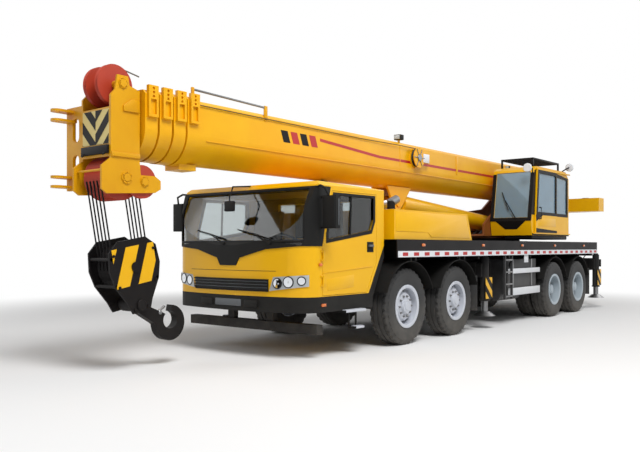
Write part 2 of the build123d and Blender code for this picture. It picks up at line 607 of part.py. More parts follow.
# Black trim: a cowl in a V, pillars and grille laid on the cab's skin, a bumper skirt, steps and mirrors
BUMPER_BOTTOM = 600
BUMPER_DEPTH = 160
SKIRT_REAR_STATION = 1000
MIRROR_Z = (1660, 2070)
MIRROR_Y = (1330, 1540)
LOUVRE_LEVELS = (882, 921, 960, 999)
LOUVRE_HEIGHT = 16
LOUVRE_REACH = 30
GRILLE_HALF = 690
COWL = ((-1130, 1510), (1130, 1510), (1130, 1440), (640, 1400), (210, 1290), (150, 1190), (-150, 1190),
        (-210, 1290), (-640, 1400), (-1130, 1440))
PILLAR = at((DOOR_FRONT_STATION + 25, 1440), (CAB_FRONT_STATION + 40, 1440), (CAB_FRONT_STATION - SCREEN_RAKE + 40, 2200),
            (DOOR_FRONT_STATION - 150, 2200))
STEP_STATIONS = (1060, 1500)
LOW_STEP_STATIONS = (1060, 1240)
STEP_PLATE = 25
FRONT_SPAN = (CAB_FRONT_X - CAB_BOW - CAB_CORNER_RADIUS + 60, CAB_FRONT_X + 100)
with BuildPart() as trim_mask:
    add(front_bar(COWL, FRONT_SPAN))
    add(slab(PILLAR, -CAB_WIDTH, CAB_WIDTH))
    add(screen_prism(), mode=Mode.SUBTRACT)
    block(FRONT_SPAN, (-GRILLE_HALF, GRILLE_HALF), (LOUVRE_LEVELS[0] - 22, 1020))
with BuildPart() as louvres:
    add(cab_form(LOUVRE_REACH))
    add(cab_form(TRIM_THICKNESS - 2), mode=Mode.SUBTRACT)
    with BuildPart(mode=Mode.PRIVATE) as louvre_mask:
        for level in LOUVRE_LEVELS:
            block(FRONT_SPAN, (-GRILLE_HALF, GRILLE_HALF), (level, level + LOUVRE_HEIGHT))
    add(louvre_mask.part, mode=Mode.INTERSECT)
with BuildPart() as trim:
    add(cab_form(TRIM_THICKNESS))
    add(cab_form(0), mode=Mode.SUBTRACT)
    add(trim_mask.part, mode=Mode.INTERSECT)
    add(louvres.part)
    with BuildSketch(Plane.XY.offset(BUMPER_BOTTOM)):
        add(cab_plan(0))
        add(cab_plan(-BUMPER_DEPTH), mode=Mode.SUBTRACT)
        with Locations((AXLE_1_X + SKIRT_REAR_STATION, 0)):
            Rectangle(CAB_WIDTH, 2 * CAB_WIDTH, align=(Align.MAX, Align.CENTER), mode=Mode.SUBTRACT)
    extrude(amount=CAB_FLOOR_Z - BUMPER_BOTTOM)
    mirror_x = AXLE_1_X + DOOR_FRONT_STATION + 26
    for side in SIDES.values():
        arm_y = sorted((side * CAB_HALF, side * (MIRROR_Y[0] + 70)))
        for level in (MIRROR_Z[0] + 12, MIRROR_Z[1] - 12):
            block((mirror_x, mirror_x + 24), arm_y, (level - 12, level + 12))
        block((mirror_x - 10, mirror_x + 80), sorted((side * MIRROR_Y[0], side * MIRROR_Y[1])), MIRROR_Z)
        step_y = sorted((side * (CAB_HALF - BUMPER_DEPTH), side * (CAB_HALF + 70)))
        block((AXLE_1_X + STEP_STATIONS[0], AXLE_1_X + STEP_STATIONS[1]), step_y,
              (BUMPER_BOTTOM - STEP_PLATE, BUMPER_BOTTOM))
        low_y = sorted((side * (CAB_HALF - 100), side * (CAB_HALF + 40)))
        low_x = (AXLE_1_X + LOW_STEP_STATIONS[0], AXLE_1_X + LOW_STEP_STATIONS[1])
        block(low_x, low_y, (345, 345 + STEP_PLATE))
        hanger_y = sorted((side * (CAB_HALF - 100), side * (CAB_HALF - 85)))
        for hanger_x in (low_x[0], low_x[1] - 30):
            block((hanger_x, hanger_x + 30), hanger_y, (345, BUMPER_BOTTOM))
        guard_y = sorted((side * (CAB_HALF - 130), side * (CAB_HALF - 4)))
        add(slab(at((ARCH_CUT_STATION, CAB_FLOOR_Z), (CAB_REAR_STATION, ARCH_CUT_Z), (CAB_REAR_STATION - 10, 1290),
                    (ARCH_CUT_STATION - 100, BUMPER_BOTTOM + 130), (ARCH_CUT_STATION - 100, BUMPER_BOTTOM),
                    (SKIRT_REAR_STATION, BUMPER_BOTTOM), (SKIRT_REAR_STATION, CAB_FLOOR_Z)), *guard_y))
finish(trim.part, "cab_trim")

# Lamps: slanted headlamps wrapped round the cab's front corners
LAMP_SPAN = (CAB_FRONT_X - 240, CAB_FRONT_X + 100)
LAMP_OUTLINE = ((710, 872), (770, 1050), (1300, 1085), (1300, 950))
with BuildPart() as lamp_mask:
    for side in SIDES.values():
        corners = [(side * y, z) for y, z in LAMP_OUTLINE]
        add(front_bar(corners, LAMP_SPAN))
with BuildPart() as lamps:
    add(cab_form(TRIM_THICKNESS))
    add(cab_form(0), mode=Mode.SUBTRACT)
    add(lamp_mask.part, mode=Mode.INTERSECT)
finish(lamps.part, "lamps")

# Cab inside: two seats, the dashboard and the steering wheel
with BuildPart() as inside:
    floor_z = CAB_FLOOR_Z + CAB_WALL
    for y in (-550, 550):
        seat_x = AXLE_1_X + 1250
        block((seat_x - 200, seat_x + 200), (y - 200, y + 200), (floor_z, 1130))
        block((seat_x - 260, seat_x + 260), (y - 260, y + 260), (1130, 1260))
        add(slab([(seat_x - 260, 1260), (seat_x - 130, 1260), (seat_x - 260, 1960), (seat_x - 350, 1960)],
                 y - 250, y + 250))
    dash_x = CAB_FRONT_X - CAB_WALL - 0.6 * CAB_BOW
    dash = [(dash_x, floor_z), (dash_x, 1425), (dash_x - 160, 1470), (dash_x - 380, 1380), (dash_x - 330, 1150),
            (dash_x - 200, floor_z)]
    add(slab(dash, -850, 850))
    wheel_plane = Plane(origin=(dash_x - 430, 550, 1480), x_dir=(0, 1, 0), z_dir=(-0.5, 0, 0.866))
    with BuildSketch(wheel_plane):
        Circle(225)
        Circle(195, mode=Mode.SUBTRACT)
        Rectangle(420, 40)
        Circle(50)
    extrude(amount=25)
    with BuildSketch(wheel_plane):
        Circle(35)
    extrude(amount=-200)
finish(inside.part, "cab_inside")

# Engine hood with its slanted rear, and the engine with its exhaust
HOOD_TOP = 1970
HOOD_PLATE = 10
HOOD_HALF = 1340
HOOD_STATIONS = (-1950, 400)
EXHAUST_X = AXLE_1_X - 60
EXHAUST_Y = 980
EXHAUST_RADIUS = 60
with BuildPart() as hood:
    hood_outline = at((HOOD_STATIONS[0], DECK_TOP), (HOOD_STATIONS[0] + 170, HOOD_TOP), (HOOD_STATIONS[1], HOOD_TOP),
                      (HOOD_STATIONS[1], DECK_TOP))
    with BuildSketch(Plane.XZ.offset(-HOOD_HALF)):
        add(polygon(*hood_outline))
    extrude(amount=2 * HOOD_HALF)
    with BuildSketch(Plane.XZ.offset(-HOOD_HALF + HOOD_PLATE)):
        add(polygon(*hood_outline))
        offset(amount=-HOOD_PLATE, kind=Kind.INTERSECTION)
    extrude(amount=2 * HOOD_HALF - 2 * HOOD_PLATE, mode=Mode.SUBTRACT)
    block((engine_x[0] - 60, AXLE_1_X + HOOD_STATIONS[1] - 2 * HOOD_PLATE), (-520, 520),
          (DECK_TOP - 1, DECK_TOP + 2 * HOOD_PLATE), mode=Mode.SUBTRACT)
    with Locations((EXHAUST_X, EXHAUST_Y, HOOD_TOP)):
        Cylinder(EXHAUST_RADIUS + 2, 4 * HOOD_PLATE, mode=Mode.SUBTRACT)
finish(hood.part, "engine_hood")

with BuildPart() as engine:
    block(engine_x, (-RAIL_INNER + 10, RAIL_INNER - 10), (ENGINE_BOTTOM, 1900))
    block((EXHAUST_X - 240, EXHAUST_X - 140), (RAIL_INNER - 20, EXHAUST_Y), (1700, 1800))
    with Locations((EXHAUST_X, EXHAUST_Y, 1700)):
        Cylinder(EXHAUST_RADIUS, 400, align=(Align.CENTER, Align.CENTER, Align.MIN))
    block((EXHAUST_X - 240, EXHAUST_X), (EXHAUST_Y - 40, EXHAUST_Y + 40), (1700, 1800))
    with Locations((EXHAUST_X, EXHAUST_Y, 2100)):
        Sphere(EXHAUST_RADIUS)
        Cylinder(EXHAUST_RADIUS, 150, rotation=(0, -70, 0), align=(Align.CENTER, Align.CENTER, Align.MIN))
finish(engine.part, "engine")

# Side fittings: fuel tank, air tank, guard rails and ladder
LADDER_STATIONS = (-3480, -3190)
LADDER_LEVELS = (520, 740, 960, 1180)
with BuildPart() as fittings:
    for side in SIDES.values():
        tank_y = sorted((side * 760, side * 1260))
        block((AXLE_1_X - 4800, AXLE_1_X - 3500), tank_y, (560, 1200))
        block((AXLE_1_X - 4600, AXLE_1_X - 4500), sorted((side * RAIL_OUTER, side * 760)), (950, 1150))
        block((AXLE_1_X - 3800, AXLE_1_X - 3700), sorted((side * RAIL_OUTER, side * 760)), (950, 1150))
        for low, high in ((530, 670), (935, 1030)):
            block((AXLE_1_X - 4900, AXLE_1_X - 3440), sorted((side * 1260, side * 1300)), (low, high))
        with Locations((AXLE_1_X - 3950, side * 1000, 530)):
            Cylinder(110, 900, rotation=(0, 90, 0))
        ladder_y = sorted((side * (GUARD_OUTER_Y - 40), side * GUARD_OUTER_Y))
        for station in LADDER_STATIONS:
            block((AXLE_1_X + station - 15, AXLE_1_X + station + 15), ladder_y, (LADDER_LEVELS[0] - 40, 1400))
        for level in LADDER_LEVELS:
            block((AXLE_1_X + LADDER_STATIONS[0], AXLE_1_X + LADDER_STATIONS[1]), ladder_y, (level, level + 30))
finish(fittings.part, "side_fittings")

# Turntable frame: floor on the slew ring, two side plates with the foot pin, cylinder pin and winch tail
PLATE_OUTER = TURRET_INNER_HALF + TURRET_PLATE
FLOOR_TOP = TURRET_FLOOR_Z + TURRET_FLOOR_PLATE
TURRET_PLATE_OUTLINE = at(
    (TURRET_FRONT_STATION, TURRET_FLOOR_Z), (TURRET_FRONT_STATION, 1880), (TURRET_FRONT_STATION - 400, 2130),
    (CYLINDER_BASE_STATION - 400, 2280), (FOOT_STATION + 350, FOOT_Z + 160), (FOOT_STATION + 120, FOOT_Z + 280),
    (FOOT_STATION - 160, FOOT_Z + 280), (WINCH_1_STATION + 250, 2900), (WINCH_2_STATION + 250, 3000),
    (WINCH_2_STATION - 110, 3000), (WEIGHT_FRONT_STATION, WEIGHT_TOP + 60), (WEIGHT_FRONT_STATION, WEIGHT_BOTTOM),
    (WINCH_1_STATION - 150, 2030), (FOOT_STATION - 300, 1760), (FOOT_STATION + 300, TURRET_FLOOR_Z))
WINCH_PLACES = ((WINCH_1_STATION, 2330), (WINCH_2_STATION, 2790))
WINCH_CORE_RADIUS = 160
WINCH_SHAFT_RADIUS = 50
with BuildPart() as turret:
    with Locations((SLEW_X, 0, (SLEW_RING_TOP + TURRET_FLOOR_Z) / 2)):
        Cylinder(SLEW_RING_RADIUS, TURRET_FLOOR_Z - SLEW_RING_TOP)
    block((FOOT_X + 300, AXLE_1_X + TURRET_FRONT_STATION), (-PLATE_OUTER, PLATE_OUTER), (TURRET_FLOOR_Z, FLOOR_TOP))
    for side in SIDES.values():
        add(slab(TURRET_PLATE_OUTLINE, *sorted((side * TURRET_INNER_HALF, side * PLATE_OUTER))))
    cross_shaft(FOOT_X, FOOT_Z, FOOT_PIN_RADIUS, (-PLATE_OUTER, PLATE_OUTER))
    cross_shaft(AXLE_1_X + CYLINDER_BASE_STATION, CYLINDER_BASE_Z, CYLINDER_PIN_RADIUS, (-PLATE_OUTER, PLATE_OUTER))
    block((FOOT_X - 350, FOOT_X - 250), (-PLATE_OUTER, PLATE_OUTER), (1790, 1990))
    for station, z in WINCH_PLACES:
        cross_shaft(AXLE_1_X + station, z, WINCH_SHAFT_RADIUS, (-PLATE_OUTER, PLATE_OUTER))
finish(turret.part, "turntable_frame")

# Winches: two drums with flanges on their shafts
DRUM_HALF = 300
FLANGE_WIDTH = 24
with BuildPart() as winches:
    for station, z in WINCH_PLACES:
        bore = WINCH_SHAFT_RADIUS + PIN_CLEARANCE
        drum = [(bore, -DRUM_HALF), (WINCH_FLANGE_RADIUS, -DRUM_HALF), (WINCH_FLANGE_RADIUS, FLANGE_WIDTH - DRUM_HALF),
                (WINCH_CORE_RADIUS, FLANGE_WIDTH - DRUM_HALF), (WINCH_CORE_RADIUS, DRUM_HALF - FLANGE_WIDTH),
                (WINCH_FLANGE_RADIUS, DRUM_HALF - FLANGE_WIDTH), (WINCH_FLANGE_RADIUS, DRUM_HALF), (bore, DRUM_HALF)]
        add(ring_of(drum, (AXLE_1_X + station, 0, z)))
finish(winches.part, "winches")

# Counterweight: a beam across the tail, its back an arc about the slew axis
with BuildPart() as weight:
    with BuildSketch(Plane.XY.offset(WEIGHT_BOTTOM)):
        with Locations((SLEW_X, 0)):
            Circle(TAIL_RADIUS)
        with Locations((AXLE_1_X + WEIGHT_FRONT_STATION, 0)):
            Rectangle(2 * TAIL_RADIUS, 2 * WEIGHT_HALF_WIDTH, align=(Align.MAX, Align.CENTER), mode=Mode.INTERSECT)
    extrude(amount=WEIGHT_TOP - WEIGHT_BOTTOM)
finish(weight.part, "counterweight")

# Operator's cab: hollow shell, a sliding door on outside rails, glass and seat
OPCAB_PROFILE = at(
    (OPCAB_FRONT_STATION - 60, OPCAB_BOTTOM), (OPCAB_FRONT_STATION, 1950), (OPCAB_FRONT_STATION - 170, OPCAB_ROOF - 60),
    (OPCAB_FRONT_STATION - 300, OPCAB_ROOF), (OPCAB_REAR_STATION + 180, OPCAB_ROOF),
    (OPCAB_REAR_STATION, OPCAB_ROOF - 150), (OPCAB_REAR_STATION, OPCAB_BOTTOM))
GUARD_INSET = 100
GUARD_BAR = 28
GUARD_TOP = OPCAB_ROOF + 180
GUARD_COUNT = 6
OPCAB_MIDDLE_Y = (OPCAB_INNER_Y + OPCAB_OUTER_Y) / 2
OPDOOR_BOTTOM = OPCAB_BOTTOM + 50
OPDOOR_TOP = OPCAB_ROOF - 60
OPDOOR_Y = (OPCAB_OUTER_Y + RUNNING_GAP, OPCAB_OUTER_Y + RUNNING_GAP + OPDOOR_THICKNESS)
OPCAB_SIDE = (OPCAB_OUTER_Y - OPCAB_WALL - 1, OPCAB_OUTER_Y + 1)
OPDOOR_FRAME = at((OPDOOR_REAR_STATION + 60, OPDOOR_BOTTOM + 30), (OPDOOR_FRONT_STATION - 60, OPDOOR_BOTTOM + 30),
                  (OPDOOR_FRONT_STATION - 120, OPDOOR_TOP - 60), (OPDOOR_REAR_STATION + 60, OPDOOR_TOP - 60))
OPDOOR_OUTLINE = at((OPDOOR_REAR_STATION, OPDOOR_BOTTOM), (OPDOOR_FRONT_STATION, OPDOOR_BOTTOM),
                    (OPDOOR_FRONT_STATION, 1950), (OPDOOR_FRONT_STATION - 90, OPDOOR_TOP),
                    (OPDOOR_REAR_STATION, OPDOOR_TOP))
OPDOOR_WINDOW = at((OPDOOR_REAR_STATION + 80, 2120), (OPDOOR_FRONT_STATION - 90, 2120),
                   (OPDOOR_FRONT_STATION - 165, OPDOOR_TOP - 80), (OPDOOR_REAR_STATION + 80, OPDOOR_TOP - 80))
OPCAB_QUARTER = at((OPCAB_REAR_STATION + 120, 2120), (OPDOOR_REAR_STATION - 60, 2120),
                   (OPDOOR_REAR_STATION - 60, OPDOOR_TOP - 80), (OPCAB_REAR_STATION + 120, OPDOOR_TOP - 110))
FRONT_PANE = ((OPCAB_INNER_Y + 70, OPCAB_OUTER_Y - 70), (2010, OPCAB_ROOF - 110))
ROOF_PANE = (AXLE_1_X + OPCAB_REAR_STATION + 600, AXLE_1_X + OPCAB_FRONT_STATION - 480)


def opcab_form(growth):
    """The operator's cab's outer form, grown outwards or inwards."""
    with BuildPart(mode=Mode.PRIVATE) as form:
        with BuildSketch(Plane.XZ.offset(-OPCAB_OUTER_Y - growth)):
            add(polygon(*OPCAB_PROFILE))
            if growth:
                offset(amount=growth, kind=Kind.INTERSECTION)
        extrude(amount=OPCAB_OUTER_Y - OPCAB_INNER_Y + 2 * growth)
    return form.part


with BuildPart() as opcab:
    add(opcab_form(0))
    add(opcab_form(-OPCAB_WALL), mode=Mode.SUBTRACT)
    add(slab(OPDOOR_FRAME, *OPCAB_SIDE), mode=Mode.SUBTRACT)
    add(slab(OPCAB_QUARTER, *OPCAB_SIDE), mode=Mode.SUBTRACT)
    opcab_front_x = AXLE_1_X + OPCAB_FRONT_STATION
    block((opcab_front_x - 260, opcab_front_x + 10), *FRONT_PANE, mode=Mode.SUBTRACT)
    block(ROOF_PANE, (OPCAB_INNER_Y + 120, OPCAB_OUTER_Y - 120), (OPCAB_ROOF - OPCAB_WALL - 1, OPCAB_ROOF + 1),
          mode=Mode.SUBTRACT)
    block((AXLE_1_X + OPCAB_REAR_STATION + 300, AXLE_1_X + OPCAB_FRONT_STATION - 500),
          (OPCAB_INNER_Y - 1, OPCAB_INNER_Y + OPCAB_WALL + 1), (2120, 2700), mode=Mode.SUBTRACT)
    rail_x = (AXLE_1_X + OPCAB_REAR_STATION, AXLE_1_X + OPDOOR_FRONT_STATION + 60)
    rail_y = (OPCAB_OUTER_Y, OPDOOR_Y[1] - 4)
    block(rail_x, rail_y, (OPDOOR_BOTTOM - SLIDE_CLEARANCE - OPDOOR_RAIL, OPDOOR_BOTTOM - SLIDE_CLEARANCE))
    block((rail_x[0], rail_x[1] - 130), rail_y,
          (OPDOOR_TOP + SLIDE_CLEARANCE, OPDOOR_TOP + SLIDE_CLEARANCE + OPDOOR_RAIL))
    block((AXLE_1_X - 6300, AXLE_1_X - 4700), (PLATE_OUTER, OPCAB_INNER_Y), (TURRET_FLOOR_Z + 20, TURRET_FLOOR_Z + 120))
    guard_x = (AXLE_1_X + OPCAB_REAR_STATION + 350, AXLE_1_X + OPCAB_FRONT_STATION - 330)
    guard_y = (OPCAB_INNER_Y + GUARD_INSET, OPCAB_OUTER_Y - GUARD_INSET)
    for y in guard_y:
        block(guard_x, (y - GUARD_BAR / 2, y + GUARD_BAR / 2), (GUARD_TOP - GUARD_BAR, GUARD_TOP))
        for x in guard_x:
            block((x - GUARD_BAR / 2, x + GUARD_BAR / 2), (y - GUARD_BAR / 2, y + GUARD_BAR / 2),
                  (OPCAB_ROOF - 4, GUARD_TOP))
    for number in range(GUARD_COUNT):
        x = guard_x[0] + (guard_x[1] - guard_x[0]) * number / (GUARD_COUNT - 1)
        block((x - GUARD_BAR / 2, x + GUARD_BAR / 2), guard_y, (GUARD_TOP - GUARD_BAR, GUARD_TOP))
finish(opcab.part, "operator_cab_shell")

with BuildPart() as opdoor:
    add(slab(OPDOOR_OUTLINE, *OPDOOR_Y))
    add(slab(OPDOOR_WINDOW, OPDOOR_Y[0] - 1, OPDOOR_Y[1] + 1), mode=Mode.SUBTRACT)
finish(opdoor.part, "operator_door")

with BuildPart() as opglass:
    add(opcab_form(-14))
    add(opcab_form(-14 - GLASS), mode=Mode.SUBTRACT)
    block((opcab_front_x - 260, opcab_front_x + 10), *FRONT_PANE, mode=Mode.INTERSECT)
    block(ROOF_PANE, (OPCAB_INNER_Y + 120, OPCAB_OUTER_Y - 120), (OPCAB_ROOF - 14 - GLASS, OPCAB_ROOF - 14))
    add(slab(OPCAB_QUARTER, OPCAB_OUTER_Y - 14 - GLASS, OPCAB_OUTER_Y - 14))
    block((AXLE_1_X + OPCAB_REAR_STATION + 300, AXLE_1_X + OPCAB_FRONT_STATION - 500),
          (OPCAB_INNER_Y + 14, OPCAB_INNER_Y + 14 + GLASS), (2120, 2700))
finish(opglass.part, "operator_cab_glass")

with BuildPart() as opseat:
    floor_z = OPCAB_BOTTOM + OPCAB_WALL
    seat_x = AXLE_1_X - 5650
    block((seat_x - 180, seat_x + 180), (OPCAB_MIDDLE_Y - 180, OPCAB_MIDDLE_Y + 180), (floor_z, 1980))
    block((seat_x - 240, seat_x + 260), (OPCAB_MIDDLE_Y - 230, OPCAB_MIDDLE_Y + 230), (1980, 2090))
    add(slab([(seat_x - 240, 2090), (seat_x - 130, 2090), (seat_x - 240, 2700), (seat_x - 320, 2700)],
             OPCAB_MIDDLE_Y - 220, OPCAB_MIDDLE_Y + 220))
    for side in SIDES.values():
        console_y = sorted((OPCAB_MIDDLE_Y + side * 250, OPCAB_MIDDLE_Y + side * 340))
        block((seat_x - 100, seat_x + 400), console_y, (floor_z, 2150))
finish(opseat.part, "operator_seat")


# Boom sections: nested tubes with flat tops and round bellies, each with a collar at its front
def boom_outline(growth):
    """Section of the boom, grown from the base section's outside."""
    half = BOOM_WIDTH / 2 + growth
    bottom = BOOM_BOTTOM - growth
    top = BOOM_TOP + growth
    with BuildSketch(mode=Mode.PRIVATE) as outline:
        with BuildLine():
            ThreePointArc((-half, bottom + half), (0, bottom), (half, bottom + half))
            Polyline((half, bottom + half), (half, top - BOOM_CORNER), (half - BOOM_CORNER, top),
                     (BOOM_CORNER - half, top), (-half, top - BOOM_CORNER), (-half, bottom + half))
        make_face()
    return outline.sketch


def boom_tube(outer, inner, x):
    """Tube between two boom outlines over a span of X."""
    with BuildPart(mode=Mode.PRIVATE) as tube:
        with BuildSketch(Plane.YZ.offset(x[0])):
            add(boom_outline(outer))
            add(boom_outline(inner), mode=Mode.SUBTRACT)
        extrude(amount=x[1] - x[0])
    return tube.part


def wear_pads(growth, rear_x):
    """Adds the slide pads at the rear of an inner section to the open part."""
    half = BOOM_WIDTH / 2 + growth
    reach = SECTION_STEP - BOOM_WALL - SLIDE_CLEARANCE
    top = BOOM_TOP + growth
    pad_x = (rear_x, rear_x + 200)
    block(pad_x, (-half + 2 * BOOM_CORNER, half - 2 * BOOM_CORNER), (top - 2, top + reach))
    for side in SIDES.values():
        block(pad_x, sorted((side * (half - 2), side * (half + reach))), (top - 260, top - 2 * BOOM_CORNER))


def collar_boxes(growth, front_x):
    """Adds the guide boxes on both flanks of a collar to the open part, each with a pocket and three holes."""
    half = BOOM_WIDTH / 2 + growth
    box_x = (front_x - COLLAR_LENGTH + 18, front_x - 22)
    for side in SIDES.values():
        block(box_x, sorted((side * (half - 4), side * (half + COLLAR_BOX_REACH))), COLLAR_BOX_Z)
        pocket_y = sorted((side * (half + 12), side * (half + COLLAR_BOX_REACH + 1)))
        block((box_x[0] + 28, box_x[1] - 28), pocket_y, (COLLAR_BOX_Z[0] + 30, COLLAR_BOX_Z[0] + 200),
              mode=Mode.SUBTRACT)
        for drop in COLLAR_HOLE_DROPS:
            with Locations(((box_x[0] + box_x[1]) / 2, side * (half + COLLAR_BOX_REACH), COLLAR_BOX_Z[1] - drop)):
                Cylinder(COLLAR_HOLE_RADIUS, 40, rotation=(90, 0, 0), mode=Mode.SUBTRACT)


COLLAR_BOX_Z = (2900, 3255)
COLLAR_BOX_REACH = 42
COLLAR_HOLE_DROPS = (32, 78, 124)
COLLAR_HOLE_RADIUS = 16
BASE_FRONT_X = AXLE_1_X + BASE_FRONT_STATION
LUG_X = AXLE_1_X + LUG_STATION
FOOT_BOSS_RADIUS = 170
REEL_X = AXLE_1_X - 1770
REEL_Z = 2975
REEL_RADIUS = 174
LAMP_X = AXLE_1_X - 1350
with BuildPart() as base:
    add(boom_tube(0, -BOOM_WALL, (FOOT_X - BASE_REAR_OVERHANG, BASE_FRONT_X)))
    add(boom_tube(COLLAR_RIM, -BOOM_WALL, (BASE_FRONT_X - COLLAR_LENGTH, BASE_FRONT_X)))
    collar_boxes(COLLAR_RIM, BASE_FRONT_X)
    block((BASE_FRONT_X - 330, BASE_FRONT_X - 60), (-130, 130), (BOOM_BOTTOM - 70, BOOM_BOTTOM + 4))
    boom_side = BOOM_WIDTH / 2
    cross_shaft(REEL_X, REEL_Z, REEL_RADIUS, (boom_side - 4, boom_side + 14))
    cross_shaft(REEL_X, REEL_Z, 0.7 * REEL_RADIUS, (boom_side, boom_side + 90))
    cross_shaft(REEL_X, REEL_Z, REEL_RADIUS, (boom_side + 78, boom_side + 92))
    block((REEL_X - 330, REEL_X - 120), (boom_side - 4, boom_side + 95), (REEL_Z - 75, REEL_Z + 85))
    block((LAMP_X - 15, LAMP_X + 15), (boom_side - 75, boom_side - 45), (BOOM_TOP - 4, BOOM_TOP + 60))
    block((LAMP_X - 55, LAMP_X + 55), (boom_side - 120, boom_side), (BOOM_TOP + 50, BOOM_TOP + 130))
    for side in SIDES.values():
        boss_y = sorted((side * (BOOM_WIDTH / 2 - BOOM_WALL), side * (TURRET_INNER_HALF - RUNNING_GAP)))
        cross_shaft(FOOT_X, FOOT_Z, FOOT_BOSS_RADIUS, boss_y)
        cheek_y = sorted((side * LUG_GAP / 2, side * (LUG_GAP / 2 + LUG_PLATE)))
        cheek_foot = BOOM_BOTTOM + BOOM_WIDTH / 2 - ((BOOM_WIDTH / 2) ** 2 - (LUG_GAP / 2) ** 2) ** 0.5 + 4
        add(slab([(LUG_X - 420, cheek_foot), (LUG_X - 130, LUG_Z - 60), (LUG_X - 60, LUG_Z - 130),
                  (LUG_X + 60, LUG_Z - 130), (LUG_X + 130, LUG_Z - 60), (LUG_X + 330, cheek_foot)], *cheek_y))
        cross_shaft(LUG_X, LUG_Z, 80, sorted((side * (LUG_GAP / 2 + LUG_PLATE), side * (LUG_GAP / 2 + LUG_PLATE + 20))))
    cross_shaft(FOOT_X, FOOT_Z, FOOT_PIN_RADIUS + PIN_CLEARANCE, (-TURRET_INNER_HALF, TURRET_INNER_HALF),
                mode=Mode.SUBTRACT)
finish(base.part, "boom_base")

for number in (2, 3, 4):
    growth = -(number - 1) * SECTION_STEP
    rear_x = FOOT_X + SECTION_REAR_INSET + (number - 2) * SECTION_REAR_PITCH
    front_x = BASE_FRONT_X + (number - 1) * COLLAR_PITCH
    with BuildPart() as section:
        add(boom_tube(growth, growth - BOOM_WALL, (rear_x, front_x)))
        add(boom_tube(COLLAR_RIM - 6 * (number - 1), growth - BOOM_WALL, (front_x - COLLAR_LENGTH, front_x)))
        collar_boxes(COLLAR_RIM - 6 * (number - 1), front_x)
        wear_pads(growth, rear_x)
    finish(section.part, f"boom_section_{number}")

# Section 5 ends in the head: two side plates with the sheave axles, a nose below and a jib fork on the right
growth = -4 * SECTION_STEP
HEAD_HALF = BOOM_WIDTH / 2 + growth
HEAD_REAR_STATION = BASE_FRONT_STATION + 3 * COLLAR_PITCH + 25
HEAD_OUTLINE = at(
    (HEAD_REAR_STATION, 3180), (4110, 3220), (4130, 3320), (4270, 3320), (4300, 3150), (HEAD_FRONT_STATION, 3090),
    (HEAD_FRONT_STATION, 2400), (NOSE_FRONT_STATION, 2310), (NOSE_FRONT_STATION, 2060), (4400, 2010), (3760, 2050),
    (3680, 2095), (3680, 2190), (3760, 2240), (3960, 2240), (HEAD_REAR_STATION, 2400))
JIB_EAR_RADIUS = 75
JIB_EAR_PLATE = 28
JIB_PIN_RADIUS = 28
JIB_EAR_LEVELS = (2120, 2230, 2880, 2990)
JIB_PLATE_STATION = 4280
JIB_PLATE_WIDTH = 360
with BuildPart() as head:
    rear_x = FOOT_X + SECTION_REAR_INSET + 3 * SECTION_REAR_PITCH
    add(boom_tube(growth, growth - BOOM_WALL, (rear_x, AXLE_1_X + HEAD_REAR_STATION + 12)))
    wear_pads(growth, rear_x)
    for side in SIDES.values():
        add(slab(HEAD_OUTLINE, *sorted((side * HEAD_HALF, side * (HEAD_HALF + HEAD_PLATE)))))
    axle_y = (-HEAD_HALF - HEAD_PLATE - 20, HEAD_HALF + HEAD_PLATE + 20)
    cross_shaft(BANK_X, BANK_Z, AXLE_PIN_RADIUS, axle_y)
    cross_shaft(AXLE_1_X + TOP_SHEAVE_STATION, TOP_SHEAVE_Z, AXLE_PIN_RADIUS, axle_y)
    for side in SIDES.values():
        cross_shaft(AXLE_1_X + GUIDE_STATION, GUIDE_Z, AXLE_PIN_RADIUS,
                    sorted((side * (HEAD_HALF - 70), side * (HEAD_HALF + HEAD_PLATE + 20))))
    front_x = AXLE_1_X + HEAD_FRONT_STATION
    block((front_x - 25, front_x), (-HEAD_HALF, HEAD_HALF), (2420, 2960))
    head_rear_x = AXLE_1_X + HEAD_REAR_STATION
    block((head_rear_x + 10, head_rear_x + 35), (-HEAD_HALF, HEAD_HALF), (2500, 3060))
    fork_y = (-HEAD_HALF - HEAD_PLATE - JIB_PLATE_WIDTH, -HEAD_HALF - HEAD_PLATE)
    with BuildSketch(Plane.YZ.offset(AXLE_1_X + JIB_PLATE_STATION)):
        with Locations(((fork_y[0] + fork_y[1]) / 2, 2560)):
            Rectangle(JIB_PLATE_WIDTH, 960)
            with Locations((10, 210), (10, -210)):
                SlotOverall(280, 130, rotation=90, mode=Mode.SUBTRACT)
    extrude(amount=40)
    ear_x = AXLE_1_X + FORK_TIP_STATION - JIB_EAR_RADIUS
    ear_y = fork_y[0] + JIB_EAR_RADIUS
    for level in JIB_EAR_LEVELS:
        block((AXLE_1_X + JIB_PLATE_STATION, ear_x), (ear_y - JIB_EAR_RADIUS, ear_y + JIB_EAR_RADIUS),
              (level - JIB_EAR_PLATE / 2, level + JIB_EAR_PLATE / 2))
        with Locations((ear_x, ear_y, level)):
            Cylinder(JIB_EAR_RADIUS, JIB_EAR_PLATE)
            Cylinder(JIB_PIN_RADIUS, 2 * JIB_EAR_PLATE, mode=Mode.SUBTRACT)
finish(head.part, "boom_section_5")


# Sheaves: a bank for the hook falls in the nose, two at the top of the head and two guides beside the bank
def sheave_profile(middle, radius, bore):
    """Section of one grooved sheave about a mid-plane along Y."""
    half = SHEAVE_PITCH / 2 - 6
    return [(bore, middle - half), (radius, middle - half), (radius - GROOVE_DEPTH, middle),
            (radius, middle + half), (bore, middle + half)]


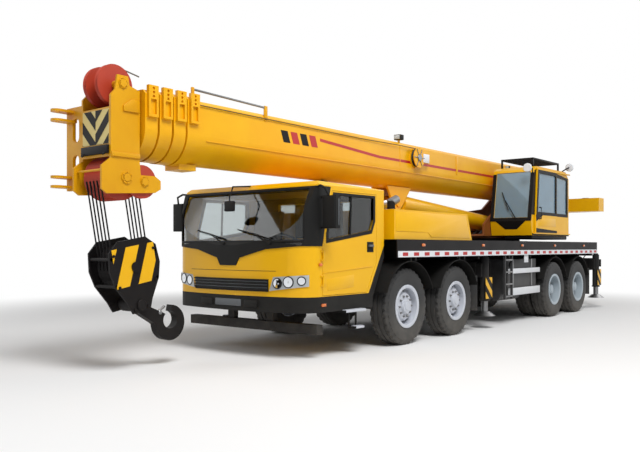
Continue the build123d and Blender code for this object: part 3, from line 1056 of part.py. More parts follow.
def bank_profile(radius, bore):
    """Section of a bank of sheaves side by side on one bush."""
    width = SHEAVE_COUNT * SHEAVE_PITCH
    points = [(bore, -width / 2), (radius, -width / 2)]
    for number in range(SHEAVE_COUNT):
        middle = (number - (SHEAVE_COUNT - 1) / 2) * SHEAVE_PITCH
        points += [(radius - GROOVE_DEPTH, middle), (radius, middle + SHEAVE_PITCH / 2)]
    return points + [(bore, width / 2)]


SHEAVE_BORE = AXLE_PIN_RADIUS + PIN_CLEARANCE
with BuildPart() as sheaves:
    add(ring_of(bank_profile(SHEAVE_RADIUS, SHEAVE_BORE), (BANK_X, 0, BANK_Z)))
    for side in SIDES.values():
        top_centre = (AXLE_1_X + TOP_SHEAVE_STATION, side * 110, TOP_SHEAVE_Z)
        add(ring_of(sheave_profile(0, TOP_SHEAVE_RADIUS, SHEAVE_BORE), top_centre))
        guide_centre = (AXLE_1_X + GUIDE_STATION, side * (HEAD_HALF - 32), GUIDE_Z)
        add(ring_of(sheave_profile(0, GUIDE_RADIUS, SHEAVE_BORE), guide_centre))
finish(sheaves.part, "head_sheaves")

# Lift cylinder: the barrel on the turntable pin, the rod with an eye that stands between the boom's lugs
BASE_PIN = Vector(AXLE_1_X + CYLINDER_BASE_STATION, 0, CYLINDER_BASE_Z)
LUG_PIN = Vector(LUG_X, 0, LUG_Z)
CYLINDER_AXIS = (LUG_PIN - BASE_PIN).normalized()
CYLINDER_LENGTH = (LUG_PIN - BASE_PIN).length
BARREL_END = CYLINDER_LENGTH - 260
CYLINDER_PLANE = Plane(origin=BASE_PIN, x_dir=(0, 1, 0), z_dir=CYLINDER_AXIS)
with BuildPart() as barrel:
    cross_shaft(BASE_PIN.X, BASE_PIN.Z, CYLINDER_EYE_RADIUS, (-LUG_GAP / 2, LUG_GAP / 2))
    with BuildSketch(CYLINDER_PLANE.offset(40)):
        Circle(BARREL_RADIUS)
    extrude(amount=BARREL_END - 40)
    cross_shaft(BASE_PIN.X, BASE_PIN.Z, CYLINDER_PIN_RADIUS + PIN_CLEARANCE, (-LUG_GAP, LUG_GAP), mode=Mode.SUBTRACT)
    with BuildSketch(CYLINDER_PLANE.offset(220)):
        Circle(ROD_RADIUS + SLIDE_CLEARANCE)
    extrude(amount=CYLINDER_LENGTH, mode=Mode.SUBTRACT)
finish(barrel.part, "lift_barrel")

with BuildPart() as rod:
    with BuildSketch(CYLINDER_PLANE.offset(240)):
        Circle(ROD_RADIUS)
    extrude(amount=CYLINDER_LENGTH - 240)
    cross_shaft(LUG_PIN.X, LUG_PIN.Z, CYLINDER_EYE_RADIUS, (-LUG_GAP / 2 + RUNNING_GAP, LUG_GAP / 2 - RUNNING_GAP))
finish(rod.part, "lift_rod")

# Hook block: rope falls tangent to the bank, two cheeks round a second bank, and the hook on its trunnion
HANG = radians(HOOK_TILT)
BLOCK_PLANE = Plane(origin=(BANK_X, 0, BANK_Z), x_dir=(cos(HANG), 0, -sin(HANG)), z_dir=(0, -1, 0))
GROOVE_HALF_ANGLE = atan(SHEAVE_PITCH / 2 / GROOVE_DEPTH)
ROPE_LINE = SHEAVE_RADIUS - GROOVE_DEPTH + ROPE_RADIUS / sin(GROOVE_HALF_ANGLE) + PIN_CLEARANCE
TRUNNION_RADIUS = 42


def on_block(forward, drop):
    """Point of the block's own plane in X and Z: forward of the hanging line, and down it."""
    point = BLOCK_PLANE.from_local_coords((forward, -drop, 0))
    return point.X, point.Z


CHEEK_OUTLINE = ((-190, 0), (190, 0), (320, 110), (345, 320), (300, 500), (170, 720), (120, 840), (-120, 840),
                 (-170, 720), (-300, 500), (-345, 320), (-320, 110))
with BuildPart() as hook_block:
    for side in SIDES.values():
        cheek_y = sorted((side * BLOCK_CHEEK_Y, side * (BLOCK_CHEEK_Y + BLOCK_CHEEK)))
        cheek = [on_block(forward, BLOCK_TOP_DROP + drop) for forward, drop in CHEEK_OUTLINE]
        add(slab(cheek, *cheek_y))
    axle_x, axle_z = on_block(0, BLOCK_AXLE_DROP)
    outer_y = BLOCK_CHEEK_Y + BLOCK_CHEEK
    add(ring_of(bank_profile(SHEAVE_RADIUS, 20), (axle_x, 0, axle_z)))
    cross_shaft(axle_x, axle_z, 60, (-outer_y - 20, outer_y + 20))
    trunnion_x, trunnion_z = on_block(0, TRUNNION_DROP)
    cross_shaft(trunnion_x, trunnion_z, TRUNNION_RADIUS, (-outer_y - 15, outer_y + 15))
    for forward in (-ROPE_LINE, ROPE_LINE):
        for number in range(SHEAVE_COUNT):
            y = (number - (SHEAVE_COUNT - 1) / 2) * SHEAVE_PITCH
            rope_top = BLOCK_PLANE.from_local_coords((forward, 0, -y))
            fall = Plane(origin=rope_top, x_dir=(0, 1, 0), z_dir=-BLOCK_PLANE.y_dir)
            with BuildSketch(fall):
                Circle(ROPE_RADIUS)
            extrude(amount=BLOCK_AXLE_DROP)
finish(hook_block.part, "hook_block")

# The hook swings on the trunnion and is pulled back at rest, its point up and to the rear
SWING = radians(HOOK_PULL)
BOWL_DROP = 600
BOWL_OUTER = 215
BOWL_INNER = 105
BOWL_SHIFT = (28, 18)
HOOK_EYE_RADIUS = 85
HOOK_THICKNESS = 110
SHANK = ((-52, 0), (52, 0), (66, -400), (20, -500), (-120, -500), (-92, -370))
MOUTH = ((62, -565), (72, -350), (320, -350), (320, -515))
HOOK_PLANE = Plane(origin=(trunnion_x, 0, trunnion_z), x_dir=(-cos(SWING), 0, sin(SWING)), z_dir=(0, 1, 0))
with BuildPart() as hook:
    cross_shaft(trunnion_x, trunnion_z, HOOK_EYE_RADIUS, (-110, 110))
    with BuildSketch(HOOK_PLANE.offset(-HOOK_THICKNESS / 2)):
        with Locations((0, -BOWL_DROP)):
            Circle(BOWL_OUTER)
        with Locations((BOWL_SHIFT[0], BOWL_SHIFT[1] - BOWL_DROP)):
            Circle(BOWL_INNER, mode=Mode.SUBTRACT)
        add(polygon(*MOUTH), mode=Mode.SUBTRACT)
        add(polygon(*SHANK))
        with Locations((BOWL_SHIFT[0], BOWL_SHIFT[1] - BOWL_DROP)):
            Circle(BOWL_INNER, mode=Mode.SUBTRACT)
    extrude(amount=HOOK_THICKNESS)
    cross_shaft(trunnion_x, trunnion_z, TRUNNION_RADIUS + PIN_CLEARANCE, (-200, 200), mode=Mode.SUBTRACT)
finish(hook.part, "hook")
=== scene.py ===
"""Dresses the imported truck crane: finishes, small fittings, studio stage and the photograph's camera.

+X points forward, +Y to the left, +Z up, in metres, with the ground at Z = 0. Stations are measured
along X from the first axle, as in the part's source. Depths are distances from the middle plane.
"""

import json
import logging
from dataclasses import dataclass, field
from enum import Enum
from math import cos, pi, radians, sin

import bmesh
import bpy
from mathutils import Matrix, Vector

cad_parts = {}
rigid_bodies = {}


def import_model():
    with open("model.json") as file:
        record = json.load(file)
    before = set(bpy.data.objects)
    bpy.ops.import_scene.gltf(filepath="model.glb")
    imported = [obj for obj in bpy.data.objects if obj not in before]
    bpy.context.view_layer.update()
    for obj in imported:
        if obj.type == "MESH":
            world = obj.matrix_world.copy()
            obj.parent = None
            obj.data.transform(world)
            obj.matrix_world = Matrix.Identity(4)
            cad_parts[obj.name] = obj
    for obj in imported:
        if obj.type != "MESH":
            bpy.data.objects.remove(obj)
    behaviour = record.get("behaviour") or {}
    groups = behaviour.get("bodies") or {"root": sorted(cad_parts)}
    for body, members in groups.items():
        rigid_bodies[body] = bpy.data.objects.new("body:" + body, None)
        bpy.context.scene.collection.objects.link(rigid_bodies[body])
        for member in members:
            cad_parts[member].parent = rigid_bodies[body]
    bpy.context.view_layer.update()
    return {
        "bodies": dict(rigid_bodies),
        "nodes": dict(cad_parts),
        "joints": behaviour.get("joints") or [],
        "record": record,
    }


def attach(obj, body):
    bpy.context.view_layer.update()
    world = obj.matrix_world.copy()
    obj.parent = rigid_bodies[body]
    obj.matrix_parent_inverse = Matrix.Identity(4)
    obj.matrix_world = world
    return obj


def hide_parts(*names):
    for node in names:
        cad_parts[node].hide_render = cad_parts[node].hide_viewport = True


LOG = logging.getLogger("crane")

Colour = tuple[float, float, float]
Display = tuple[int, int, int]
Point = tuple[float, float, float]
Flat = tuple[float, float]
Outline = tuple[Flat, ...]

AXLE_1_X = 2.370
FRONT_AXLES = 2
SIGNS = (1.0, -1.0)
SIDES = (("left", 1.0), ("right", -1.0))
ORIGIN = (0.0, 0.0, 0.0)
WHITE_LIGHT = (1.0, 1.0, 1.0, 1.0)
DUST_COLOUR = (150, 142, 130)
SHARP_ANGLE = radians(32)
MERGE_DISTANCE = 1e-5
BUMP_DISTANCE = 0.002
STEEP = 0.9


def srgb(red: int, green: int, blue: int) -> Colour:
    """Turns an 8-bit display colour into a linear one.

    Args:
        red: Red from 0 to 255.
        green: Green from 0 to 255.
        blue: Blue from 0 to 255.

    Returns:
        The linear colour.
    """
    def linear(value: int) -> float:
        share = value / 255.0
        return share / 12.92 if share <= 0.04045 else ((share + 0.055) / 1.055) ** 2.4
    return (linear(red), linear(green), linear(blue))


def at(station: float) -> float:
    """Turns a station into X of the frame.

    Args:
        station: Distance ahead of the first axle, in metres.

    Returns:
        X in the frame.
    """
    return AXLE_1_X + station


def stations(outline: Outline) -> list[Flat]:
    """Turns corners at stations into corners in X.

    Args:
        outline: Corners as station and height.

    Returns:
        Corners as X and height.
    """
    return [(at(station), z) for station, z in outline]


def span(sign: float, near: float, far: float) -> Flat:
    """Gives a span along Y on one side.

    Args:
        sign: The side's direction along Y.
        near: Depth of one end.
        far: Depth of the other end.

    Returns:
        The span, low value first.
    """
    low, high = sorted((sign * near, sign * far))
    return low, high


def outward(sign: float) -> Vector:
    """Gives the direction out of a side.

    Args:
        sign: The side's direction along Y.

    Returns:
        The unit vector.
    """
    return Vector((0.0, sign, 0.0))


def clock(count: int, phase: float = 0.0) -> list[Flat]:
    """Spaces directions evenly round a circle.

    Args:
        count: Number of directions.
        phase: Share of a step that the first one is turned by.

    Returns:
        The cosine and sine of each direction.
    """
    turns = [2 * pi * (k + phase) / count for k in range(count)]
    return [(cos(turn), sin(turn)) for turn in turns]


def clip(outline: list[Flat], low: Flat, high: Flat) -> list[Flat]:
    """Cuts a convex outline to an upright rectangle.

    Args:
        outline: Corners of the outline.
        low: Low corner of the rectangle.
        high: High corner of the rectangle.

    Returns:
        Corners of what lies inside, none if nothing does.
    """
    for index in (0, 1):
        for limit, sign in ((low[index], 1.0), (high[index], -1.0)):
            kept: list[Flat] = []
            for here, there in zip(outline, outline[1:] + outline[:1]):
                a, b = sign * (here[index] - limit), sign * (there[index] - limit)
                if a >= 0.0:
                    kept.append(here)
                if (a > 0.0 > b) or (a < 0.0 < b):
                    share = a / (a - b)
                    kept.append((here[0] + share * (there[0] - here[0]),
                                 here[1] + share * (there[1] - here[1])))
            outline = kept
    return outline


def stripes(low: Flat, high: Flat, pitch: float, width: float, lean: float) -> list[list[Flat]]:
    """Lays slanted stripes over an upright rectangle.

    Args:
        low: Low corner of the rectangle.
        high: High corner of the rectangle.
        pitch: Distance from stripe to stripe along the first axis.
        width: Width of a stripe along the first axis.
        lean: Shift along the first axis from bottom to top.

    Returns:
        The outlines of the stripes.
    """
    found = []
    start = low[0] - abs(lean)
    while start < high[0] + abs(lean):
        band = [(start, low[1]), (start + width, low[1]), (start + width + lean, high[1]),
                (start + lean, high[1])]
        piece = clip(band, low, high)
        if len(piece) > 2:
            found.append(piece)
        start += pitch
    return found


def frame_on(place: Vector, normal: Vector) -> Matrix:
    """Gives the move that stands a body's Y axis on a surface.

    Args:
        place: Point of the surface.
        normal: Its outward direction.

    Returns:
        The move.
    """
    run = normal.normalized()
    guide = Vector((0, 0, 1)) if abs(run.z) < STEEP else Vector((1, 0, 0))
    side = run.cross(guide).normalized()
    move = Matrix((side, run, side.cross(run))).transposed().to_4x4()
    move.translation = place
    return move


class Kind(Enum):
    """How a finish is shaded."""

    PAINT = "paint"
    METAL = "metal"
    RUBBER = "rubber"
    PLASTIC = "plastic"
    GLASS = "glass"
    LENS = "lens"
    FABRIC = "fabric"
    ROPE = "rope"


class Axis(Enum):
    """A direction of the frame."""

    X = 0
    Y = 1
    Z = 2


@dataclass(frozen=True)
class Finish:
    """A surface finish in two display colours, from which one node material is made."""

    name: str
    kind: Kind
    base: Display
    second: Display
    roughness: float
    coat: float = 0.0
    patch_scale: float = 2.2
    grain_scale: float = 90.0
    grain: float = 0.04
    dust: float = 0.0
    dust_top: float = 1.3
    specular: float = 0.5
    clear: float = 1.0


YELLOW = Finish("cab_yellow", Kind.PAINT, (240, 186, 2), (230, 170, 0), 0.36, coat=0.1, dust=0.04,
                specular=0.3)
BOOM_YELLOW = Finish("boom_yellow", Kind.PAINT, (242, 186, 8), (226, 156, 0), 0.38, coat=0.1,
                     specular=0.3)
HEAD_YELLOW = Finish("head_yellow", Kind.PAINT, (226, 168, 4), (204, 140, 0), 0.44, coat=0.06,
                     specular=0.3)
CREAM = Finish("cream_paint", Kind.PAINT, (226, 206, 132), (208, 184, 104), 0.45)
# Yellow turret paint darkened to a brownish orange: painted shade for the shadow under the operator's cab
# and boom; the dust low down is dirt.
TURRET_SHADED_YELLOW = Finish("turret_yellow_painted_shade", Kind.PAINT, (150, 84, 30), (112, 58, 22), 0.5, dust=0.06,
                dust_top=2.2)
BLACK = Finish("black_paint", Kind.PAINT, (22, 19, 20), (14, 12, 13), 0.5, dust=0.03, specular=0.15)
CHASSIS = Finish("chassis_paint", Kind.PAINT, (36, 36, 38), (24, 24, 26), 0.65, dust=0.15,
                 specular=0.15)
BLACK_PLASTIC = Finish("black_plastic", Kind.PLASTIC, (25, 25, 24), (17, 17, 17), 0.6, dust=0.04,
                       specular=0.18)
GREY_PLASTIC = Finish("grey_plastic", Kind.PLASTIC, (96, 100, 103), (80, 84, 88), 0.5)
SILVER = Finish("rim_silver", Kind.PAINT, (206, 210, 219), (188, 193, 203), 0.36, coat=0.2, dust=0.1)
RIM_GREY = Finish("rim_grey", Kind.PAINT, (186, 198, 206), (158, 170, 178), 0.5, dust=0.1)
# Dark grey tank paint, darkened further as painted shade for the shadow under the deck; the dust low down
# is dirt.
TANK_GREY_SHADED = Finish("tank_grey_and_painted_shade", Kind.PAINT, (62, 63, 65), (46, 47, 49), 0.46, dust=0.12, specular=0.25)
WHITE = Finish("white_paint", Kind.PAINT, (230, 232, 235), (214, 217, 222), 0.42, dust=0.1)
RED = Finish("red_paint", Kind.PAINT, (186, 26, 24), (160, 20, 20), 0.42)
SHEAVE_RED = Finish("sheave_red", Kind.PAINT, (184, 62, 36), (152, 44, 26), 0.45)
AMBER = Finish("amber_lens", Kind.LENS, (250, 130, 10), (226, 104, 6), 0.16)
LENS = Finish("clear_lens", Kind.LENS, (208, 214, 216), (176, 184, 188), 0.1)
STEEL = Finish("worn_steel", Kind.METAL, (150, 150, 150), (112, 112, 114), 0.36, grain_scale=140.0)
CHROME = Finish("hard_chrome", Kind.METAL, (214, 216, 220), (196, 198, 204), 0.1, grain=0.01)
MIRROR = Finish("mirror_glass", Kind.METAL, (225, 228, 232), (214, 218, 222), 0.03, grain=0.0)
RUBBER = Finish("tyre_rubber", Kind.RUBBER, (52, 52, 52), (40, 40, 40), 0.78, dust=0.2, dust_top=0.7)
DARK_GLASS = Finish("dark_glass", Kind.GLASS, (206, 212, 212), (198, 205, 206), 0.02)
PALE_GLASS = Finish("pale_glass", Kind.GLASS, (172, 200, 218), (154, 186, 206), 0.03, clear=0.6)
SEAT = Finish("seat_cloth", Kind.FABRIC, (58, 60, 64), (44, 46, 50), 0.85, grain_scale=420.0,
              grain=0.3)
ROPE = Finish("wire_rope", Kind.ROPE, (120, 118, 114), (84, 82, 80), 0.5, grain_scale=260.0, grain=0.4)
# Near-black: painted shade in the rim openings and the exhaust mouth, and the real black of the lamp
# bezels and the front panel seam.
SHADE_AND_TRIM_BLACK = Finish("painted_shade_and_trim_black", Kind.PAINT, (22, 22, 23), (14, 14, 15), 0.8)


@dataclass
class Tree:
    """A node tree, with a short way to add and feed nodes."""

    owner: bpy.types.Material | bpy.types.World

    def __post_init__(self) -> None:
        self.owner.use_nodes = True
        self.nodes = self.owner.node_tree.nodes
        self.links = self.owner.node_tree.links

    def feed(self, node: bpy.types.Node, inputs: dict) -> None:
        """Sets or links inputs of a node.

        Args:
            node: The node.
            inputs: What each input gets, a socket or a value, by name or number.
        """
        for name, value in inputs.items():
            if isinstance(value, bpy.types.NodeSocket):
                self.links.new(value, node.inputs[name])
            else:
                node.inputs[name].default_value = value

    def add(self, kind: str, inputs: dict | None = None, **settings: str) -> bpy.types.NodeOutputs:
        """Adds a node.

        Args:
            kind: The node's type, without its first word.
            inputs: What each input gets, a socket or a value, by name or number.
            settings: Settings of the node itself.

        Returns:
            The node's outputs.
        """
        node = self.nodes.new(f"ShaderNode{kind}")
        for name, value in settings.items():
            setattr(node, name, value)
        self.feed(node, inputs or {})
        return node.outputs

    def noise(self, place: bpy.types.NodeSocket, scale: float, detail: float) -> bpy.types.NodeSocket:
        """Adds a noise texture.

        Args:
            place: Socket with the object coordinates.
            scale: Scale of the noise.
            detail: Octaves of the noise.

        Returns:
            The noise's factor socket.
        """
        return self.add("TexNoise", {"Scale": scale, "Detail": detail, "Vector": place})["Fac"]


class Paintshop:
    """Makes one node material for each finish, on object coordinates."""

    def __init__(self) -> None:
        self._made: dict[str, bpy.types.Material] = {}

    def material(self, finish: Finish) -> bpy.types.Material:
        """Gives the material of a finish, making it the first time.

        Args:
            finish: The finish.

        Returns:
            Its node material.
        """
        if finish.name not in self._made:
            self._made[finish.name] = self._make(finish)
        return self._made[finish.name]

    def _make(self, finish: Finish) -> bpy.types.Material:
        """Builds the node tree of a finish.

        Args:
            finish: The finish.

        Returns:
            The new material.
        """
        material = bpy.data.materials.new(finish.name)
        base = (*srgb(*finish.base), 1.0)
        material.diffuse_color = base
        tree = Tree(material)
        place = tree.add("TexCoord")["Object"]
        patches = tree.noise(place, finish.patch_scale, 5.0)
        tone = tree.add("Mix", {"Factor": patches, "A": base, "B": (*srgb(*finish.second), 1.0)},
                        data_type="RGBA")["Result"]
        if finish.dust > 0.0:
            tone = self._dusted(tree, place, tone, finish)
        grain = tree.noise(place, finish.grain_scale, 3.0)
        spread = tree.add("MapRange", {"To Min": max(0.0, finish.roughness * 0.85),
                                       "To Max": min(1.0, finish.roughness * 1.2), "Value": patches})
        bump = tree.add("Bump", {"Strength": finish.grain, "Distance": BUMP_DISTANCE, "Height": grain})
        looks = {"Base Color": tone, "Roughness": spread["Result"], "Normal": bump["Normal"],
                 "Specular IOR Level": finish.specular}
        looks |= {Kind.METAL: {"Metallic": 1.0}, Kind.FABRIC: {"Sheen Weight": 0.3},
                  Kind.GLASS: {"Transmission Weight": finish.clear, "IOR": 1.45},
                  Kind.LENS: {"Transmission Weight": 0.25, "Coat Weight": 0.6}}.get(finish.kind, {})
        if finish.coat > 0.0:
            looks |= {"Coat Weight": finish.coat, "Coat Roughness": 0.12}
        tree.feed(tree.nodes["Principled BSDF"], looks)
        return material

    @staticmethod
    def _dusted(tree: Tree, place: bpy.types.NodeSocket, tone: bpy.types.NodeSocket,
                finish: Finish) -> bpy.types.NodeSocket:
        """Adds road dust that thins out with height.

        Args:
            tree: The finish's node tree.
            place: Socket with the object coordinates.
            tone: Socket with the clean colour.
            finish: The finish.

        Returns:
            The dusted colour's socket.
        """
        split = tree.add("SeparateXYZ", {"Vector": place})
        height = tree.add("MapRange", {"From Max": finish.dust_top, "To Min": 2.0 * finish.dust,
                                       "To Max": 0.0, "Value": split["Z"]})
        share = tree.add("Math", {0: height["Result"], 1: tree.noise(place, 7.0, 6.0)},
                         operation="MULTIPLY")
        return tree.add("Mix", {"Factor": share["Value"], "A": tone, "B": (*srgb(*DUST_COLOUR), 1.0)},
                        data_type="RGBA")["Result"]


SHOP = Paintshop()


def close_rows(part: bmesh.types.BMesh, rows: list[list[bmesh.types.BMVert]]) -> None:
    """Closes the space between like rows of corners, with a face at each end.

    Args:
        part: The mesh that the corners are in.
        rows: The rows, from one end to the other.
    """
    part.faces.new(rows[0])
    part.faces.new(rows[-1])
    for first, second in zip(rows, rows[1:]):
        for i in range(len(first)):
            j = (i + 1) % len(first)
            part.faces.new((first[i], first[j], second[j], second[i]))


def close_round(part: bmesh.types.BMesh, rings: list[list[bmesh.types.BMVert]], closed: bool) -> None:
    """Closes the space between sections that stand round an axis.

    Args:
        part: The mesh that the corners are in.
        rings: Corners of each section.
        closed: Whether a section's last corner joins its first.
    """
    for here, there in zip(rings, rings[1:] + rings[:1]):
        for i in range(len(here) if closed else len(here) - 1):
            j = (i + 1) % len(here)
            part.faces.new((here[i], here[j], there[j], there[i]))


class Shape:
    """A mesh under construction, in the crane's own frame. Each way to add to it gives it back."""

    def __init__(self) -> None:
        self.bm = bmesh.new()

    def take(self, part: bmesh.types.BMesh, bevel: float = 0.0, segments: int = 2) -> "Shape":
        """Bevels a finished part and joins it to the shape.

        Args:
            part: The part, freed here.
            bevel: Bevel width in metres, none at 0.
            segments: Bevel segments.

        Returns:
            The shape itself.
        """
        if bevel > 0.0:
            bmesh.ops.bevel(part, geom=part.edges[:], offset=bevel, segments=segments, profile=0.5,
                            affect="EDGES", material=-1, clamp_overlap=True)
        bmesh.ops.recalc_face_normals(part, faces=part.faces[:])
        mesh = bpy.data.meshes.new("part")
        part.to_mesh(mesh)
        part.free()
        self.bm.from_mesh(mesh)
        bpy.data.meshes.remove(mesh)
        return self

    def box(self, low: Point, high: Point, bevel: float = 0.004, segments: int = 2) -> "Shape":
        """Adds a box with rounded edges.

        Args:
            low: Lowest corner.
            high: Highest corner.
            bevel: Bevel width.
            segments: Bevel segments.

        Returns:
            The shape itself.
        """
        part = bmesh.new()
        bmesh.ops.create_cube(part, size=1.0)
        size = [high[i] - low[i] for i in range(3)]
        middle = [(high[i] + low[i]) / 2 for i in range(3)]
        bmesh.ops.scale(part, vec=size, verts=part.verts[:])
        bmesh.ops.translate(part, vec=middle, verts=part.verts[:])
        return self.take(part, min(bevel, min(size) * 0.45), segments)

    def side_box(self, sign: float, along: Flat, depth: Flat, rise: Flat, bevel: float = 0.004,
                 segments: int = 2) -> "Shape":
        """Adds a box on one side of the crane.

        Args:
            sign: The side's direction along Y.
            along: Its two stations, the rear one first.
            depth: Its near and far depth.
            rise: Its low and high level.
            bevel: Bevel width.
            segments: Bevel segments.

        Returns:
            The shape itself.
        """
        low, high = span(sign, *depth)
        return self.box((at(along[0]), low, rise[0]), (at(along[1]), high, rise[1]), bevel, segments)

    def prism(self, outline: list[Flat], axis: Axis, low: float, high: float,
              bevel: float = 0.0) -> "Shape":
        """Adds a prism of a flat outline along an axis.

        Args:
            outline: Corners in the two other axes, in X, Y, Z order.
            axis: Axis of the prism.
            low: Low end along the axis.
            high: High end along the axis.
            bevel: Bevel width.

        Returns:
            The shape itself.
        """
        part = bmesh.new()
        rows = []
        for level in (low, high):
            corners = [list(corner) for corner in outline]
            for corner in corners:
                corner.insert(axis.value, level)
            rows.append([part.verts.new(corner) for corner in corners])
        close_rows(part, rows)
        return self.take(part, bevel)

    def side_prism(self, sign: float, outline: Outline, depth: Flat, bevel: float = 0.0) -> "Shape":
        """Adds a plate on one side of the crane.

        Args:
            sign: The side's direction along Y.
            outline: Corners as station and height.
            depth: Its near and far depth.
            bevel: Bevel width.

        Returns:
            The shape itself.
        """
        return self.prism(stations(outline), Axis.Y, *span(sign, *depth), bevel)

    def tube(self, path: list[Point], radius: float, sides: int = 12) -> "Shape":
        """Adds a round bar along a path.

        Args:
            path: Points that the bar's centre passes.
            radius: The bar's radius.
            sides: Sides of its section.

        Returns:
            The shape itself.
        """
        part = bmesh.new()
        points = [Vector(p) for p in path]
        rows = []
        for i, point in enumerate(points):
            before = (point - points[i - 1]).normalized() if i > 0 else None
            after = (points[i + 1] - point).normalized() if i + 1 < len(points) else None
            run = ((before or after) + (after or before)).normalized()
            guide = Vector((0, 0, 1)) if abs(run.z) < STEEP else Vector((0, 1, 0))
            across = run.cross(guide).normalized()
            up = across.cross(run).normalized()
            stretch = 1.0 / max(0.5, run.dot(after or before))
            rows.append([part.verts.new(point + across * c * radius + up * s * radius * stretch)
                         for c, s in clock(sides)])
        close_rows(part, rows)
        return self.take(part)

    def lathe(self, profile: list[Flat], centre: Point, axis: Axis = Axis.Y, steps: int = 48,
              closed: bool = True) -> "Shape":
        """Adds a turned body.

        Args:
            profile: Corners as radius and distance along the axis.
            centre: Point of the axis that distances count from.
            axis: Axis of the turning.
            steps: Steps round the axis.
            closed: Whether the profile's last corner joins its first.

        Returns:
            The shape itself.
        """
        part = bmesh.new()
        units = [Vector((1, 0, 0)), Vector((0, 1, 0)), Vector((0, 0, 1))]
        run = units.pop(axis.value)
        rings = []
        for c, s in clock(steps):
            out = units[0] * c + units[1] * s
            rings.append([part.verts.new(Vector(centre) + out * r + run * h) for r, h in profile])
        close_round(part, rings, closed)
        bmesh.ops.remove_doubles(part, verts=part.verts[:], dist=MERGE_DISTANCE)
        return self.take(part)

    def disc(self, centre: Point, axis: Axis, radius: float, low: float, high: float, sides: int = 24,
             bevel: float = 0.0) -> "Shape":
        """Adds a round bar between two offsets along an axis from a centre.

        Args:
            centre: Point on the axis.
            axis: Axis of the bar.
            radius: Its radius.
            low: Low end, from the centre.
            high: High end, from the centre.
            sides: Sides of its section, six for a nut.
            bevel: Width of the rim's bevel.

        Returns:
            The shape itself.
        """
        edge = min(bevel, radius * 0.4, (high - low) * 0.4)
        profile = [(0.0, low), (radius, low), (radius, high), (0.0, high)]
        if edge > 0:
            profile[1:3] = [(radius - edge, low), (radius, low + edge), (radius, high - edge),
                            (radius - edge, high)]
        return self.lathe(profile, centre, axis, sides, closed=False)

    def ring(self, outer: list[Flat], inner: list[Flat], axis: Axis, low: float, high: float) -> "Shape":
        """Adds a flat frame between two outlines with the same number of corners.

        Args:
            outer: Outer corners in the two other axes, in X, Y, Z order.
            inner: Inner corners, one for each outer one.
            axis: Axis that the frame is thick along.
            low: Low face along the axis.
            high: High face along the axis.

        Returns:
            The shape itself.
        """
        for i in range(len(outer)):
            j = (i + 1) % len(outer)
            self.prism([outer[i], outer[j], inner[j], inner[i]], axis, low, high)
        return self

    def moved(self, other: "Shape", place: Vector, normal: Vector) -> "Shape":
        """Stands another shape, made round the Y axis, on a surface and takes it over.

        Args:
            other: The other shape, used up here.
            place: Point of the surface.
            normal: Its outward direction.

        Returns:
            The shape itself.
        """
        bmesh.ops.transform(other.bm, matrix=frame_on(place, normal), verts=other.bm.verts[:])
        return self.take(other.bm)

    def stud(self, place: Vector, normal: Vector, radius: float, low: float, high: float, sides: int,
             bevel: float = 0.0) -> "Shape":
        """Stands a round bar on a surface.

        Args:
            place: Point of the surface.
            normal: Its outward direction.
            radius: The bar's radius.
            low: Low end above the surface.
            high: High end above the surface.
            sides: Sides of its section, six for a nut.
            bevel: Width of the rim's bevel.

        Returns:
            The shape itself.
        """
        bar = Shape().disc(ORIGIN, Axis.Y, radius, low, high, sides, bevel)
        return self.moved(bar, place, normal)

    def collar(self, place: Vector, normal: Vector, profile: list[Flat], steps: int,
               closed: bool = True) -> "Shape":
        """Stands a turned body on a surface.

        Args:
            place: Point of the surface.
            normal: Its outward direction.
            profile: Corners as radius and height above the surface.
            steps: Steps round the axis.
            closed: Whether the profile's last corner joins its first.

        Returns:
            The shape itself.
        """
        return self.moved(Shape().lathe(profile, ORIGIN, Axis.Y, steps, closed), place, normal)

    def bolts(self, place: Vector, normal: Vector, circle: float, radius: float, rise: Flat,
              bevel: float, phase: float = 0.0) -> "Shape":
        """Stands six bolts in a circle on a surface.

        Args:
            place: Middle of the circle.
            normal: The surface's outward direction.
            circle: Radius of the circle.
            radius: Radius of a bolt.
            rise: Low and high end of a bolt above the surface.
            bevel: Width of a bolt's bevel.
            phase: Share of a step that the first bolt is turned by.

        Returns:
            The shape itself.
        """
        for c, s in clock(6, phase):
            bolt = Shape().disc((circle * c, 0, circle * s), Axis.Y, radius, *rise, 6, bevel)
            self.moved(bolt, place, normal)
        return self

    def build(self, name: str, finish: Finish, body: str, slot: str | None = None,
              replaces: tuple[str, ...] = ()) -> bpy.types.Object:
        """Turns the shape into an object that rides on a body.

        Args:
            name: Name of the object.
            finish: Its finish.
            body: The body that it rides on.
            slot: The record's material slot, if it has one; not used.
            replaces: Nodes that it stands for.

        Returns:
            The new object.
        """
        mesh = bpy.data.meshes.new(name)
        bmesh.ops.recalc_face_normals(self.bm, faces=self.bm.faces[:])
        self.bm.to_mesh(mesh)
        self.bm.free()
        mesh.shade_smooth()
        mesh.set_sharp_from_angle(angle=SHARP_ANGLE)
        mesh.materials.append(SHOP.material(finish))
        piece = bpy.data.objects.new(name, mesh)
        bpy.context.scene.collection.objects.link(piece)
        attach(piece, body)
        if replaces:
            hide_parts(*replaces)
        return piece


